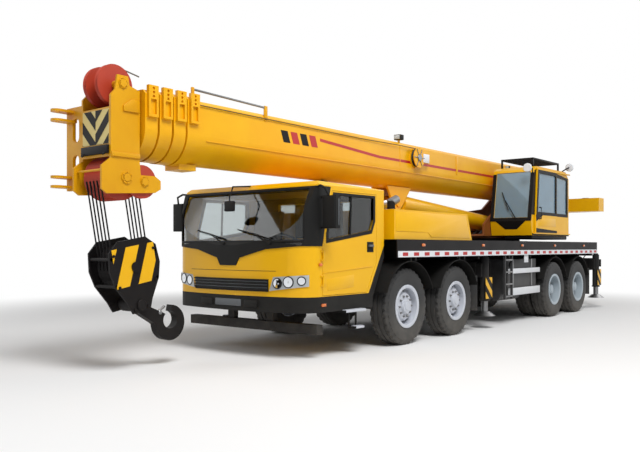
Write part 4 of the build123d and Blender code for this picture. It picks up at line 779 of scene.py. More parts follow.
@dataclass
class NodeFinishes:
    """Finishes of the nodes that keep their own mesh."""

    frame: dict
    by_name: dict[str, Finish] = field(default_factory=lambda: {
        "axles": CHASSIS, "chassis_frame": CHASSIS, "outrigger_boxes": CHASSIS, "deck": BLACK,
        "mudguards": BLACK_PLASTIC, "cab_shell": YELLOW, "cab_door_left": YELLOW,
        "cab_door_right": YELLOW, "cab_glass": DARK_GLASS, "cab_trim": BLACK_PLASTIC, "lamps": LENS,
        # The side fittings take the tank grey, darkened in part as painted shade.
        "cab_inside": SEAT, "engine_hood": YELLOW, "engine": CHASSIS, "side_fittings": TANK_GREY_SHADED,
        # The turntable frame takes the turret yellow darkened as painted shade.
        "turntable_frame": TURRET_SHADED_YELLOW, "winches": CHASSIS, "counterweight": YELLOW,
        "operator_cab_shell": YELLOW, "operator_door": YELLOW, "operator_cab_glass": PALE_GLASS,
        "operator_seat": SEAT, "boom_base": BOOM_YELLOW, "boom_section_2": BOOM_YELLOW,
        "boom_section_3": BOOM_YELLOW, "boom_section_4": BOOM_YELLOW, "boom_section_5": HEAD_YELLOW,
        "head_sheaves": SHEAVE_RED, "lift_barrel": YELLOW, "lift_rod": CHROME, "hook_block": BLACK,
        "hook": BLACK})
    by_start: dict[str, Finish] = field(default_factory=lambda: {
        "tyre_": RUBBER, "rim_1": SILVER, "rim_2": SILVER, "rim_3": RIM_GREY, "rim_4": RIM_GREY,
        "knuckle_": CHASSIS, "outrigger_beam": CHASSIS, "outrigger_jack": STEEL})

    def apply(self) -> None:
        """Gives each node its finish."""
        for name, node in self.frame["nodes"].items():
            finish = self.by_name.get(name)
            if finish is None:
                finish = next(f for start, f in self.by_start.items() if name.startswith(start))
            for place in node.material_slots:
                place.link = "OBJECT"
                place.material = SHOP.material(finish)


@dataclass(frozen=True)
class RimPlan:
    """Measures of one kind of rim, with distances out from the wheel's middle."""

    finish: Finish
    slot: str
    hole_radius: float
    hole_out: float
    hole_lean: float
    nut_radius: float
    nut_out: float
    cap_out: float
    tyre_shifts: tuple[float, ...]


FRONT_RIM = RimPlan(SILVER, "front_rim_paint", 0.229, 0.0645, radians(45.0), 0.15, 0.108, 0.15, (0.0,))
REAR_RIM = RimPlan(RIM_GREY, "rear_rim_paint", 0.212, 0.0481, radians(-12.0), 0.119, 0.197, 0.262,
                   (-0.1725, 0.1725))


@dataclass
class Wheels:
    """Road wheels: treaded tyres in place of the plain ones, dark discs of painted shade at the rim
    openings, nuts and caps on the rims.
    """

    axle_x: tuple[float, ...] = (at(0.0), at(-1.47), at(-5.575), at(-6.925))
    front_y: float = 1.152
    rear_y: float = 1.02
    radius: float = 0.562
    half_width: float = 0.1575
    bead: float = 0.2856
    steps: int = 96
    slot_every: int = 3
    slot_depth: float = 0.02
    nuts: int = 10
    nut_turn: float = 0.31

    def build(self) -> None:
        """Makes every wheel's pieces."""
        for number, x in enumerate(self.axle_x, start=1):
            front = number <= FRONT_AXLES
            plan = FRONT_RIM if front else REAR_RIM
            for side, sign in SIDES:
                centre = (x, sign * (self.front_y if front else self.rear_y), self.radius)
                self._tyre(f"{number}_{side}", plan, centre)
                self._rim(f"{number}_{side}", plan, sign, Vector(centre))

    def _profile(self) -> list[tuple[float, float, bool]]:
        """Gives half a tyre section as radius, offset and whether the shoulder's slots cut it."""
        r, h = self.radius, self.half_width
        return [(self.bead, h - 0.022, False), (self.bead + 0.02, h - 0.012, False),
                (r - 0.2, h - 0.004, False), (r - 0.19, h - 0.001, False), (r - 0.1, h, False),
                (r - 0.062, h - 0.004, False), (r - 0.05, h - 0.01, True), (r - 0.012, h - 0.024, True),
                (r - 0.002, h - 0.034, True), (r - 0.001, h - 0.072, True), (r - 0.016, h - 0.076, False),
                (r - 0.016, h - 0.086, False), (r, h - 0.09, False), (r, 0.012, False),
                (r - 0.016, 0.008, False), (r - 0.016, 0.0, False)]

    def _tyre(self, name: str, plan: RimPlan, centre: Point) -> None:
        """Makes a tyre, or a pair of them, with grooves round it and slots in its shoulders.

        Args:
            name: Axle and side of the wheel.
            plan: Measures of its rim.
            centre: Middle of the wheel.
        """
        half = self._profile()
        section = [(r, -o, s) for r, o, s in half] + [(r, o, s) for r, o, s in reversed(half[:-1])]
        x, y, z = centre
        shape = Shape()
        for shift in plan.tyre_shifts:
            part = bmesh.new()
            rings = []
            for k, (c, s) in enumerate(clock(self.steps)):
                depth = self.slot_depth if k % self.slot_every == self.slot_every - 1 else 0.0
                rings.append([part.verts.new((x + (r - depth * cut) * c, y + shift + o,
                                              z + (r - depth * cut) * s)) for r, o, cut in section])
            close_round(part, rings, True)
            shape.take(part)
        shape.build(f"treaded_tyre_{name}", RUBBER, f"wheel_{name}", "tyre_rubber", (f"tyre_{name}",))

    def _rim(self, name: str, plan: RimPlan, sign: float, hub: Vector) -> None:
        """Adds dark discs of painted shade at the rim's openings, and the nuts and cap of a rim.

        Args:
            name: Axle and side of the wheel.
            plan: Measures of the rim.
            sign: The side's direction along Y.
            hub: Middle of the wheel.
        """
        body, run = f"wheel_{name}", outward(sign)
        hole_shades, rings, nuts = Shape(), Shape(), Shape()
        for k in range(self.nuts):
            turn = 2 * pi * (k + 0.5) / self.nuts
            out = Vector((cos(turn), 0.0, sin(turn)))
            normal = out * sin(plan.hole_lean) + run * cos(plan.hole_lean)
            place = hub + out * plan.hole_radius + run * plan.hole_out
            # Thin near-black disc on the rim face at each opening: painted shade, not a part of the rim.
            hole_shades.stud(place, normal, 0.03, 0.0, 0.002, 20)
            rings.collar(place, normal, [(0.03, 0.0), (0.036, 0.0), (0.036, 0.004), (0.03, 0.005)], 20)
            turn += self.nut_turn
            seat = hub + Vector((cos(turn), 0.0, sin(turn))) * plan.nut_radius + run * plan.nut_out
            nuts.stud(seat, run, 0.018, 0.0, 0.022, 6, 0.002)
            nuts.stud(seat, run, 0.01, 0.02, 0.034, 12, 0.002)
        hole_shades.build(f"rim_hole_shades_{name}", SHADE_AND_TRIM_BLACK, body, plan.slot)
        cap = hub + run * (plan.cap_out - 0.002)
        rings.stud(cap, run, 0.06, 0.0, 0.012, 32, 0.004)
        rings.collar(cap, run, [(0.076, -0.004), (0.09, -0.004), (0.088, 0.004), (0.078, 0.004)], 32)
        flange = [(0.268, -0.022), (0.318, -0.022), (0.316, 0.0), (0.3, 0.003), (0.268, -0.008)]
        rings.collar(hub + run * (self.half_width + plan.tyre_shifts[-1]), run, flange, 48)
        rings.build(f"rim_rings_{name}", plan.finish, body, plan.slot)
        nuts.build(f"rim_nuts_{name}", STEEL, body, "bare_steel")


@dataclass
class DriverCab:
    """Driver's cab: panes and surrounds, handles, wipers, lamp insides, mirrors and small lamps."""

    half: float = 1.25
    front: float = 2.35
    corner: float = 0.355
    bow: float = 0.16
    skin: float = 0.012
    rake: float = 0.35
    rake_foot: float = 1.45
    rake_height: float = 0.77
    screen_half: float = 1.155
    screen_foot: float = 1.5
    screen_head: float = 2.17
    door_window: Outline = ((0.85, 1.66), (1.79, 1.53), (1.79, 1.6), (1.65, 2.1), (0.79, 2.1),
                            (0.79, 1.8))
    door_surround: Outline = ((0.83, 1.615), (1.835, 1.478), (1.835, 1.607), (1.69, 2.135),
                              (0.745, 2.135), (0.745, 1.785))
    crease: Outline = ((0.82, 1.158), (1.895, 1.094), (1.895, 1.106), (0.82, 1.171))
    door_panel: Outline = ((1.24, 0.9), (1.8, 0.87), (1.83, 1.02), (1.24, 1.06))
    steps: tuple[tuple[float, ...], ...] = ((1.07, 1.49, 0.6, 0.026, 1.316),
                                            (1.07, 1.23, 0.37, 0.018, 1.286))
    lamps: tuple[Point, ...] = ((0.83, 0.972, 0.058), (0.985, 0.99, 0.062), (1.13, 1.005, 0.045))
    wipers: tuple[Flat, ...] = ((0.72, 0.12), (-0.08, -0.68))
    louvres: tuple[float, ...] = (0.899, 0.938, 0.977)
    seam_z: float = 1.125
    lining: tuple[tuple[Flat, Flat], ...] = (
        ((-1.17, 1.46), (1.17, 1.55)), ((-1.17, 2.09), (1.17, 2.2)), ((-1.17, 1.55), (-0.71, 2.09)),
        ((0.71, 1.55), (1.17, 2.09)))

    def build(self) -> None:
        """Makes the cab's pieces."""
        for side, sign in SIDES:
            self._door(side, sign)
            self._flank(side, sign)
            self._lamp(side, sign)
            self._mirror(side, sign)
        self._front()
        self._grille()
        self._lining()

    def _door(self, side: str, sign: float) -> None:
        """Adds a door's pane, surround, handle and crease.

        Args:
            side: Side of the crane.
            sign: Its direction along Y.
        """
        body = f"cab_door_{side}"
        pane = Shape().side_prism(sign, self.door_window, (1.224, 1.232))
        pane.build(f"door_pane_{side}", DARK_GLASS, body, "dark_glass")
        trim = Shape().ring(stations(self.door_surround), stations(self.door_window), Axis.Y,
                            *span(sign, 1.2, 1.254))
        trim.tube([(at(1.31), sign * 1.2365, 1.59), (at(1.29), sign * 1.2365, 2.105)], 0.016, 8)
        trim.side_box(sign, (0.79, 0.94), (1.249, 1.256), (1.36, 1.5), 0.012)
        trim.build(f"door_surround_{side}", BLACK_PLASTIC, body, "black_plastic")
        handle = Shape().side_box(sign, (0.81, 0.92), (1.262, 1.282), (1.43, 1.462), 0.008)
        for station in (0.815, 0.903):
            handle.side_box(sign, (station, station + 0.014), (1.25, 1.27), (1.432, 1.46), 0.003)
        handle.build(f"door_handle_{side}", GREY_PLASTIC, body, "black_plastic")
        crease = Shape().side_prism(sign, self.crease, (1.249, 1.2575), 0.002)
        crease.side_prism(sign, self.door_panel, (1.249, 1.2535), 0.003)
        crease.build(f"door_crease_{side}", YELLOW, body, "yellow_paint")

    def _flank(self, side: str, sign: float) -> None:
        """Adds the treads of the steps and the marker lamps of one side.

        Args:
            side: Side of the crane.
            sign: Its direction along Y.
        """
        tread = Shape()
        for low, high, z, pitch, edge in self.steps:
            for k in range(5):
                y = sign * (1.2 + k * pitch)
                tread.box((at(low), y - 0.005, z - 0.001), (at(high), y + 0.005, z + 0.008), 0.002)
            tread.side_box(sign, (low - 0.01, high + 0.01), (edge, edge + 0.008),
                           (z - 0.026, z + 0.004), 0.003)
        tread.build(f"step_treads_{side}", SILVER, "carrier", "bare_steel")
        amber = Shape().side_box(sign, (1.84, 1.93), (1.25, 1.262), (0.675, 0.712), 0.005)
        amber.side_box(sign, (1.925, 1.985), (1.25, 1.27), (1.19, 1.225), 0.006)
        amber.build(f"marker_lamps_{side}", AMBER, "carrier", "lamp_lens")

    def _skin(self, y: float, out: float) -> tuple[Vector, Vector]:
        """Finds the cab's front skin in plan.

        Args:
            y: Distance from the middle plane.
            out: Height above the skin.

        Returns:
            The point at Z = 0 and the outward direction.
        """
        radius = (self.half ** 2 + self.bow ** 2) / (2.0 * self.bow)
        origin = at(self.front) - radius
        flat = self.half - self.corner
        side = 1.0 if y >= 0.0 else -1.0
        if abs(y) <= flat * radius / (radius - self.corner):
            run = Vector(((radius ** 2 - y * y) ** 0.5, y, 0.0)).normalized()
            return Vector((origin, 0.0, 0.0)) + run * (radius + out), run
        lean = min(1.0, (abs(y) - flat) / self.corner)
        run = Vector(((1.0 - lean * lean) ** 0.5, side * lean, 0.0))
        ahead = ((radius - self.corner) ** 2 - flat ** 2) ** 0.5
        return Vector((origin + ahead, side * flat, 0.0)) + run * (self.corner + out), run

    def _across(self, pitch: float, out: float, z: float) -> list[Point]:
        """Lays a level row of points across the cab's front skin.

        Args:
            pitch: Distance between two points along Y.
            out: Height above the skin.
            z: Level of the row.

        Returns:
            The points.
        """
        return [tuple(self._skin(pitch * k, out)[0] + Vector((0.0, 0.0, z))) for k in range(-8, 9)]

    def _screen(self, y: float, z: float, out: float) -> Vector:
        """Finds a point before the windscreen.

        Args:
            y: Distance from the middle plane.
            z: Height.
            out: Distance before the screen.

        Returns:
            The point.
        """
        raked = at(self.front - self.rake * (z - self.rake_foot) / self.rake_height)
        return Vector((min(raked, self._skin(y, 0.0)[0].x) + out, y, z))

    def _lamp(self, side: str, sign: float) -> None:
        """Adds the reflectors behind a headlamp's lens, with their dark bezels.

        Args:
            side: Side of the crane.
            sign: Its direction along Y.
        """
        bowls, bezels = Shape(), Shape()
        for y, z, r in self.lamps:
            foot, run = self._skin(sign * y, self.skin)
            place = foot + Vector((0, 0, z))
            bezels.collar(place, run, [(r, -0.003), (r + 0.014, -0.003), (r + 0.012, 0.006), (r, 0.006)],
                          32)
            bowls.collar(place, run, [(0.0, 0.001), (r * 0.5, 0.002), (r, 0.005), (r, -0.002),
                                      (0.0, -0.002)], 32, closed=False)
        bowls.build(f"lamp_reflectors_{side}", MIRROR, "carrier", "lamp_lens")
        bezels.build(f"lamp_bezels_{side}", SHADE_AND_TRIM_BLACK, "carrier", "black_plastic")

    @staticmethod
    def _mirror(side: str, sign: float) -> None:
        """Adds a door mirror's glass, pale strip and rounded shell.

        Args:
            side: Side of the crane.
            sign: Its direction along Y.
        """
        glass = Shape()
        for rise in ((1.82, 2.055), (1.675, 1.795)):
            glass.side_box(sign, (1.912, 1.917), (1.345, 1.525), rise, 0.002)
        glass.build(f"mirror_glass_{side}", MIRROR, "carrier", "black_plastic")
        strip = Shape().side_box(sign, (1.936, 1.952), (1.538, 1.5435), (1.7, 2.03), 0.002)
        strip.build(f"mirror_strip_{side}", GREY_PLASTIC, "carrier", "black_plastic")
        shell = Shape().side_box(sign, (1.996, 2.018), (1.335, 1.535), (1.67, 2.06), 0.012, 3)
        shell.tube([(at(1.95), sign * 1.2, 2.19), (at(2.02), sign * 1.31, 2.2),
                    (at(2.04), sign * 1.4, 2.16), (at(2.0), sign * 1.43, 2.06)], 0.014, 10)
        shell.build(f"mirror_shell_{side}", BLACK_PLASTIC, "carrier", "black_plastic")

    def _front(self) -> None:
        """Adds wipers, the front mirror, bumper caps and the windscreen's seal."""
        black = Shape()
        for root, tip in self.wipers:
            foot = self._screen(root, 1.48, 0.03)
            black.disc(tuple(foot), Axis.X, 0.022, -0.03, 0.012, 16, 0.004)
            mid = self._screen((root + tip) / 2, 1.6, 0.03)
            black.tube([tuple(foot), tuple(mid)], 0.008, 8)
            blade = ((tip + 0.62, 1.53), (mid.y, 1.6), (tip - 0.02, 1.66))
            black.tube([tuple(self._screen(y, z, 0.014)) for y, z in blade], 0.009, 8)
        black.tube([(at(1.93), 0.02, 2.26), (at(2.28), 0.02, 2.23), (at(2.34), 0.02, 2.1),
                    (at(2.34), 0.02, 2.03)], 0.01, 10)
        black.box((at(2.315), -0.07, 1.9), (at(2.365), 0.11, 2.04), 0.02, 3)
        for sign in SIGNS:
            black.side_box(sign, (self.front - 0.05, self.front + 0.01), (0.3, 0.52), (0.655, 0.745),
                           0.01)
        half, foot_z, height = self.screen_half, self.screen_foot, self.screen_head - self.screen_foot
        seal = [(half * k / 16.0, foot_z) for k in range(-16, 17)]
        seal += [(half, foot_z + height * k / 6.0) for k in range(1, 7)]
        seal += [(-half * k / 16.0, self.screen_head) for k in range(-15, 17)]
        seal += [(-half, self.screen_head - height * k / 6.0) for k in range(1, 7)]
        black.tube([tuple(self._screen(y, z, 0.0)) for y, z in seal], 0.016, 8)
        black.build("cab_front_fittings", BLACK_PLASTIC, "carrier", "black_plastic")

    def _grille(self) -> None:
        """Adds the grille's bars, the blank number plate and the seam of the front panel."""
        bars = Shape()
        for z in self.louvres:
            bars.tube(self._across(0.085, 0.014, z + 0.011), 0.009, 8)
        bars.box((at(self.front) - 0.01, -0.24, 0.66), (at(self.front) + 0.008, 0.24, 0.75), 0.004)
        bars.build("grille_bars", GREY_PLASTIC, "carrier", "black_plastic")
        seam = Shape().tube(self._across(0.1, 0.0, self.seam_z), 0.003, 6)
        seam.build("panel_seam", SHADE_AND_TRIM_BLACK, "carrier", "black_plastic")

    def _lining(self) -> None:
        """Lines the roof and the rear wall inside the cab with dark trim round the rear window."""
        lining = Shape().box((at(0.62), -1.17, 2.204), (at(1.88), 1.17, 2.214), 0.002)
        for low, high in self.lining:
            lining.box((at(0.585), *low), (at(0.594), *high), 0.0)
        lining.build("cab_lining", BLACK_PLASTIC, "carrier", "black_plastic")


@dataclass
class Carrier:
    """Carrier: skirt strip, hood panels, striped leg plates, rails, lamps and rear fittings."""

    skirt: float = 1.39
    strip_rise: Flat = (1.283, 1.372)
    red_fields: int = 28
    red_pitch: float = 0.3
    red_start: float = -7.98
    jacks: tuple[tuple[str, float, float], ...] = (
        ("front_left", -2.7, 1.0), ("front_right", -3.0, -1.0), ("rear_left", -8.55, 1.0),
        ("rear_right", -8.85, -1.0))
    jack_y: float = 1.195
    hood_panel: Outline = ((-1.86, 1.575), (-0.62, 1.575), (-0.52, 1.655), (0.36, 1.655), (0.36, 1.94),
                           (-1.72, 1.94))
    tail: float = -9.06
    exhaust: Point = (at(-0.06), 0.98, 1.985)
    exhaust_run: Point = (-0.94, 0.0, 0.342)

    def build(self) -> None:
        """Makes the carrier's pieces."""
        for side, sign in SIDES:
            self._side(side, sign)
            panel = Shape().side_prism(sign, self.hood_panel, (1.338, 1.346), 0.004)
            panel.build(f"hood_panel_{side}", YELLOW, "carrier", "yellow_paint")
        for name, station, sign in self.jacks:
            self._leg(name, station, sign)
        self._rear()
        self._exhaust()

    def _side(self, side: str, sign: float) -> None:
        """Adds the strip with its red fields, the white rails, ladder treads and lamps of one side.

        Args:
            side: Side of the crane.
            sign: Its direction along Y.
        """
        low, high = self.strip_rise
        white = Shape().side_box(sign, (-8.03, 0.38), (self.skirt - 0.002, self.skirt + 0.003),
                                 (low, high), 0.0)
        for rise in ((0.532, 0.668), (0.937, 1.028)):
            white.side_box(sign, (-4.9, -3.44), (1.298, 1.306), rise, 0.003)
        white.side_box(sign, (-4.17, -3.99), (1.37, 1.376), (1.14, 1.29), 0.002)
        white.build(f"white_strip_{side}", WHITE, "carrier", "skirt_paint")
        red = Shape()
        for k in range(self.red_fields):
            start = self.red_start + k * self.red_pitch
            red.side_box(sign, (start, start + 0.14), (self.skirt + 0.002, self.skirt + 0.0045),
                         (low + 0.018, high - 0.02), 0.0)
        red.build(f"red_fields_{side}", RED, "carrier", "skirt_paint")
        amber = Shape()
        for station in (-0.35, -2.3, -3.9, -5.5, -7.2):
            amber.side_box(sign, (station, station + 0.09), (self.skirt, self.skirt + 0.014),
                           (1.44, 1.48), 0.006)
        amber.build(f"side_lamps_{side}", AMBER, "carrier", "lamp_lens")
        steel = Shape()
        for z in (0.535, 0.755, 0.975, 1.195):
            steel.side_box(sign, (-3.47, -3.2), (1.366, 1.374), (z - 0.012, z + 0.012), 0.002)
        for station in (-4.6, -3.75):
            steel.side_box(sign, (station, station + 0.06), (1.26, 1.272), (0.57, 1.2), 0.003)
        steel.stud(Vector((at(-3.62), sign * 1.26, 1.1)), outward(sign), 0.055, 0.0, 0.03, 28, 0.006)
        steel.build(f"tank_straps_{side}", STEEL, "carrier", "bare_steel")
        flaps = Shape()
        for station in (-2.1, -7.62):
            flaps.side_box(sign, (station, station + 0.014), (0.72, 1.36), (0.36, 0.95), 0.004)
        flaps.build(f"mud_flaps_{side}", RUBBER, "carrier", "black_plastic")

    def _exhaust(self) -> None:
        """Adds the bright sleeve over the exhaust's elbow and a dark disc of painted shade in its mouth.
        """
        bend = Vector((*self.exhaust[:2], 2.1))
        run = Vector(self.exhaust_run).normalized()
        mouth = bend + run * 0.151
        sleeve = Shape().tube([self.exhaust, tuple(bend), tuple(mouth)], 0.066, 28)
        sleeve.build("exhaust_sleeve", STEEL, "carrier", "bare_steel")
        # Near-black disc across the pipe's end: painted shade inside the pipe.
        mouth_shade = Shape().stud(mouth, run, 0.054, -0.002, 0.002, 28)
        mouth_shade.build("exhaust_mouth_shade", SHADE_AND_TRIM_BLACK, "carrier", "chassis_paint")

    def _leg(self, name: str, station: float, sign: float) -> None:
        """Adds an outrigger's striped plate, collars and hose.

        Args:
            name: End and side of the outrigger.
            station: Its place along X.
            sign: Its direction along Y.
        """
        body, x, y = f"outrigger_beam_{name}", at(station), self.jack_y
        face = y + 0.086
        plate = Shape().side_box(sign, (station - 0.13, station + 0.13), (face - 0.016, face),
                                 (0.52, 0.9), 0.004)
        plate.build(f"leg_plate_{name}", BLACK, body, "outrigger_paint")
        bands = Shape()
        for band in stripes((x - 0.125, 0.525), (x + 0.125, 0.895), 0.25, 0.12, 0.38):
            bands.prism(band, Axis.Y, *span(sign, face - 0.001, face + 0.0015))
        bands.build(f"leg_stripes_{name}", YELLOW, body, "yellow_paint")
        collar = Shape().lathe([(0.0765, 0.0), (0.09, 0.0), (0.09, 0.03), (0.0765, 0.03)],
                               (x, sign * y, 0.482), Axis.Z, 36)
        collar.lathe([(0.03, 0.0), (0.062, 0.0), (0.05, 0.03), (0.03, 0.03)], (x, sign * y, 1.249),
                     Axis.Z, 32)
        hose = ((0.03, 0.06, 1.26), (0.05, 0.12, 1.29), (0.05, 0.22, 1.24), (0.05, 0.3, 1.13))
        collar.tube([(x + ahead, sign * (y - inward), z) for ahead, inward, z in hose], 0.011, 10)
        collar.build(f"leg_collar_{name}", CHASSIS, body, "outrigger_paint")

    def _rear(self) -> None:
        """Adds the tail lamps, their bar and the deck's tread strips."""
        x = at(self.tail)
        bar = Shape()
        for low, high in (((-1.15, 0.95), (-0.43, 1.13)), ((0.43, 0.95), (1.15, 1.13)),
                          ((-0.43, 0.97), (0.43, 1.02))):
            bar.box((x - 0.03, *low), (x, *high), 0.006)
        bar.build("tail_bar", CHASSIS, "carrier", "chassis_paint")
        red, amber, strips = Shape(), Shape(), Shape()
        lamp = (self.tail - 0.044, self.tail - 0.028)
        for sign in SIGNS:
            red.side_box(sign, lamp, (0.72, 0.98), (0.98, 1.1), 0.008)
            amber.side_box(sign, lamp, (1.0, 1.12), (0.98, 1.1), 0.008)
        red.build("tail_lamps", RED, "carrier", "lamp_lens")
        amber.build("tail_indicators", AMBER, "carrier", "lamp_lens")
        for k in range(9):
            start = -2.3 - 0.24 * k
            for sign in SIGNS:
                strips.side_box(sign, (start, start + 0.12), (1.02, 1.34), (1.5395, 1.5425), 0.001)
        strips.build("deck_treads", CHASSIS, "carrier", "skirt_paint")


@dataclass
class Superstructure:
    """Slewing part: frames, pane, handle and mirrors of the operator's cab, rope on the winches."""

    inner: float = 0.482
    outer: float = 1.33
    door_face: float = 1.368
    window: Outline = ((-5.56, 2.12), (-4.65, 2.12), (-4.725, 2.88), (-5.56, 2.88))
    surround: Outline = ((-5.63, 2.06), (-4.572, 2.06), (-4.66, 2.95), (-5.63, 2.95))
    door_foot: Outline = ((-5.63, 1.715), (-4.57, 1.715), (-4.57, 1.8), (-5.63, 1.76))
    door_notch: Outline = ((-4.565, 1.93), (-4.565, 2.06), (-4.9, 2.06))
    door_panel: Outline = ((-5.56, 1.84), (-4.68, 1.84), (-4.68, 1.91), (-4.86, 2.0), (-5.56, 2.0))
    quarter: Outline = ((-6.28, 2.12), (-5.7, 2.12), (-5.7, 2.88), (-6.28, 2.85))
    quarter_surround: Outline = ((-6.35, 2.06), (-5.66, 2.06), (-5.66, 2.95), (-6.35, 2.89))
    sill: Outline = ((-6.4, 1.662), (-4.46, 1.662), (-4.455, 1.7), (-6.4, 1.7))
    pillar: Outline = ((-4.575, 2.06), (-4.425, 2.06), (-4.57, 2.93), (-4.64, 2.95))
    corner_post: Outline = ((-4.403, 1.97), (-4.558, 2.89), (-4.578, 2.89), (-4.423, 1.97))
    screen_foot: Outline = ((-4.4, 1.94), (-4.413, 2.008), (-4.425, 2.008), (-4.415, 1.94))
    mirrors: tuple[Point, ...] = ((at(-4.31), 1.3, 2.96), (at(-6.26), 1.4, 3.12))
    guard_ys: Flat = (0.582, 1.23)
    guard_stations: Flat = (-6.05, -4.73)
    guard_half: float = 0.017
    guard_rise: Flat = (3.169, 3.203)
    drums: Outline = ((-8.15, 2.33), (-8.45, 2.79))
    drum_turns: int = 27
    pins: tuple[Point, ...] = ((-7.4, 2.8, 0.115), (-5.5, 1.905, 0.095), (-8.15, 2.33, 0.085),
                               (-8.45, 2.79, 0.085))
    ribs: tuple[Outline, ...] = (((-7.9, 2.06), (-7.86, 2.05), (-7.3, 2.6), (-7.34, 2.63)),
                                 ((-8.7, 2.42), (-8.7, 2.46), (-7.75, 2.5), (-7.75, 2.46)))
    cheek: float = 0.469

    def build(self) -> None:
        """Makes the superstructure's pieces."""
        self._door()
        self._cab()
        self._roof()
        self._winches()
        self._plates()

    def _door(self) -> None:
        """Adds the sliding door's pane, frame, notch and handle."""
        face, body = self.door_face, "operator_door"
        pane = Shape().side_prism(1.0, self.window, (face - 0.022, face - 0.014))
        pane.build("operator_door_pane", PALE_GLASS, body, "dark_glass")
        black = Shape().ring(stations(self.surround), stations(self.window), Axis.Y, face - 0.03,
                             face + 0.003)
        for outline in (self.door_foot, self.door_notch):
            black.side_prism(1.0, outline, (face - 0.002, face + 0.003))
        handle = ((-0.002, 1.98), (0.04, 1.99), (0.04, 2.2), (-0.002, 2.21))
        black.tube([(at(-4.72), face + out, z) for out, z in handle], 0.011, 10)
        black.build("operator_door_frame", BLACK, body, "black_plastic")
        panel = Shape().side_prism(1.0, self.door_panel, (face - 0.002, face + 0.004), 0.002)
        panel.build("operator_door_panel", YELLOW, body, "yellow_paint")

    def _cab(self) -> None:
        """Adds the frames, notch, base trim, wiper, mirrors and lamp cases of the operator's cab."""
        inner, outer, body = self.inner, self.outer, "superstructure"
        black = Shape().ring(stations(self.quarter_surround), stations(self.quarter), Axis.Y,
                             outer - 0.02, outer + 0.003)
        for outline in (self.sill, self.pillar):
            black.side_prism(1.0, outline, (outer - 0.002, outer + 0.003))
        post = [(x + 0.008, z) for x, z in stations(self.corner_post)]
        black.prism(post, Axis.Y, inner - 0.003, inner + 0.068)
        black.prism(post, Axis.Y, outer - 0.068, outer + 0.003)
        foot = [(x + 0.006, z) for x, z in stations(self.screen_foot)]
        black.prism(foot, Axis.Y, inner - 0.002, outer + 0.002)
        notch = ((inner + 0.1, 0.0), (outer - 0.1, 0.0), (outer - 0.3, -0.17), (inner + 0.3, -0.17))
        face = bmesh.new()
        close_rows(face, [[face.verts.new((at(-4.4 - 0.06 * -z / 0.29) + out, y, 1.95 + z))
                           for y, z in notch] for out in (0.004, -0.004)])
        black.take(face)
        black.tube([(at(-4.42), 1.02, 2.0), (at(-4.4) + 0.02, 1.02, 2.0),
                    (at(-4.455) + 0.02, 0.78, 2.36)], 0.008, 8)
        black.tube([(at(-4.425) + 0.014, 0.86, 2.16), (at(-4.49) + 0.014, 0.7, 2.52)], 0.009, 8)
        black.tube([(at(-4.53), 1.31, 2.87), (at(-4.4), 1.36, 2.95), (at(-4.33), 1.33, 2.99)], 0.012, 10)
        black.tube([(at(-6.12), 1.27, 3.018), (at(-6.16), 1.4, 3.1), (at(-6.24), 1.4, 3.115)], 0.012, 10)
        shells, glass = Shape(), Shape()
        for place in self.mirrors:
            shells.disc(place, Axis.X, 0.085, -0.02, 0.024, 32, 0.012)
            glass.disc(place, Axis.X, 0.074, -0.0225, -0.019, 32)
        shells.build("operator_mirror_shells", WHITE, body, "black_plastic")
        for low, high in ((0.62, 0.7), (1.1, 1.18)):
            black.box((at(-4.86), low, 3.016), (at(-4.8), high, 3.08), 0.008)
        black.box((at(-6.35), 0.74, 1.585), (at(-4.5), 1.31, 1.664), 0.02, 3)
        black.build("operator_cab_frames", BLACK, body, "black_plastic")
        glass.build("operator_mirror_glass", MIRROR, body, "black_plastic")

    def _roof(self) -> None:
        """Adds the work lamps, guard, beacon and rear rail of the operator's cab."""
        body, half, (low_z, high_z) = "superstructure", self.guard_half, self.guard_rise
        lenses = Shape()
        for low, high in ((0.626, 0.694), (1.106, 1.174)):
            lenses.box((at(-4.803), low, 3.026), (at(-4.79), high, 3.074), 0.006)
        lenses.build("operator_work_lamps", LENS, body, "lamp_lens")
        bars = Shape()
        rear, front = self.guard_stations
        for y in self.guard_ys:
            bars.box((at(rear) - half, y - half, low_z), (at(front) + half, y + half, high_z), 0.003)
            for x in (at(rear), at(front)):
                bars.box((x - half, y - half, 3.021), (x + half, y + half, 3.17), 0.003)
        for k in range(6):
            x = at(rear + (front - rear) * k / 5)
            bars.box((x - half, self.guard_ys[0], low_z), (x + half, self.guard_ys[1], high_z), 0.003)
        bars.build("operator_roof_guard", BLACK, body, "black_plastic")
        beacon = Shape().disc((at(-6.02), 0.66, 3.018), Axis.Z, 0.05, 0.0, 0.11, 28, 0.014)
        beacon.build("operator_beacon", AMBER, body, "lamp_lens")
        rail = Shape().tube([(at(-6.41), 1.05, 1.8), (at(-6.47), 1.05, 1.82), (at(-6.47), 1.05, 2.5),
                             (at(-6.41), 1.05, 2.52)], 0.014, 10)
        rail.build("operator_cab_rail", BLACK, body, "black_plastic")

    def _winches(self) -> None:
        """Winds rope on both drums and adds flange bolts."""
        rope, bolts = Shape(), Shape()
        core, end, length = 0.161, 0.272, 0.544
        profile = [(core, -end)]
        for k in range(self.drum_turns):
            middle = -end + length * (k + 0.5) / self.drum_turns
            profile += [(0.212, middle - 0.0095), (0.221, middle), (0.212, middle + 0.0095)]
        profile.append((core, end))
        for station, z in self.drums:
            rope.lathe(profile, (at(station), 0.0, z), Axis.Y, 40, closed=False)
            for c, s in clock(8):
                for sign in (-1.0, 1.0):
                    bolts.disc((at(station) + 0.11 * c, sign * 0.3, z + 0.11 * s), Axis.Y, 0.014,
                               *span(sign, 0.0, 0.014), 6, 0.002)
        rope.build("winch_rope", ROPE, "superstructure", "chassis_paint")
        bolts.build("winch_bolts", STEEL, "superstructure", "bare_steel")

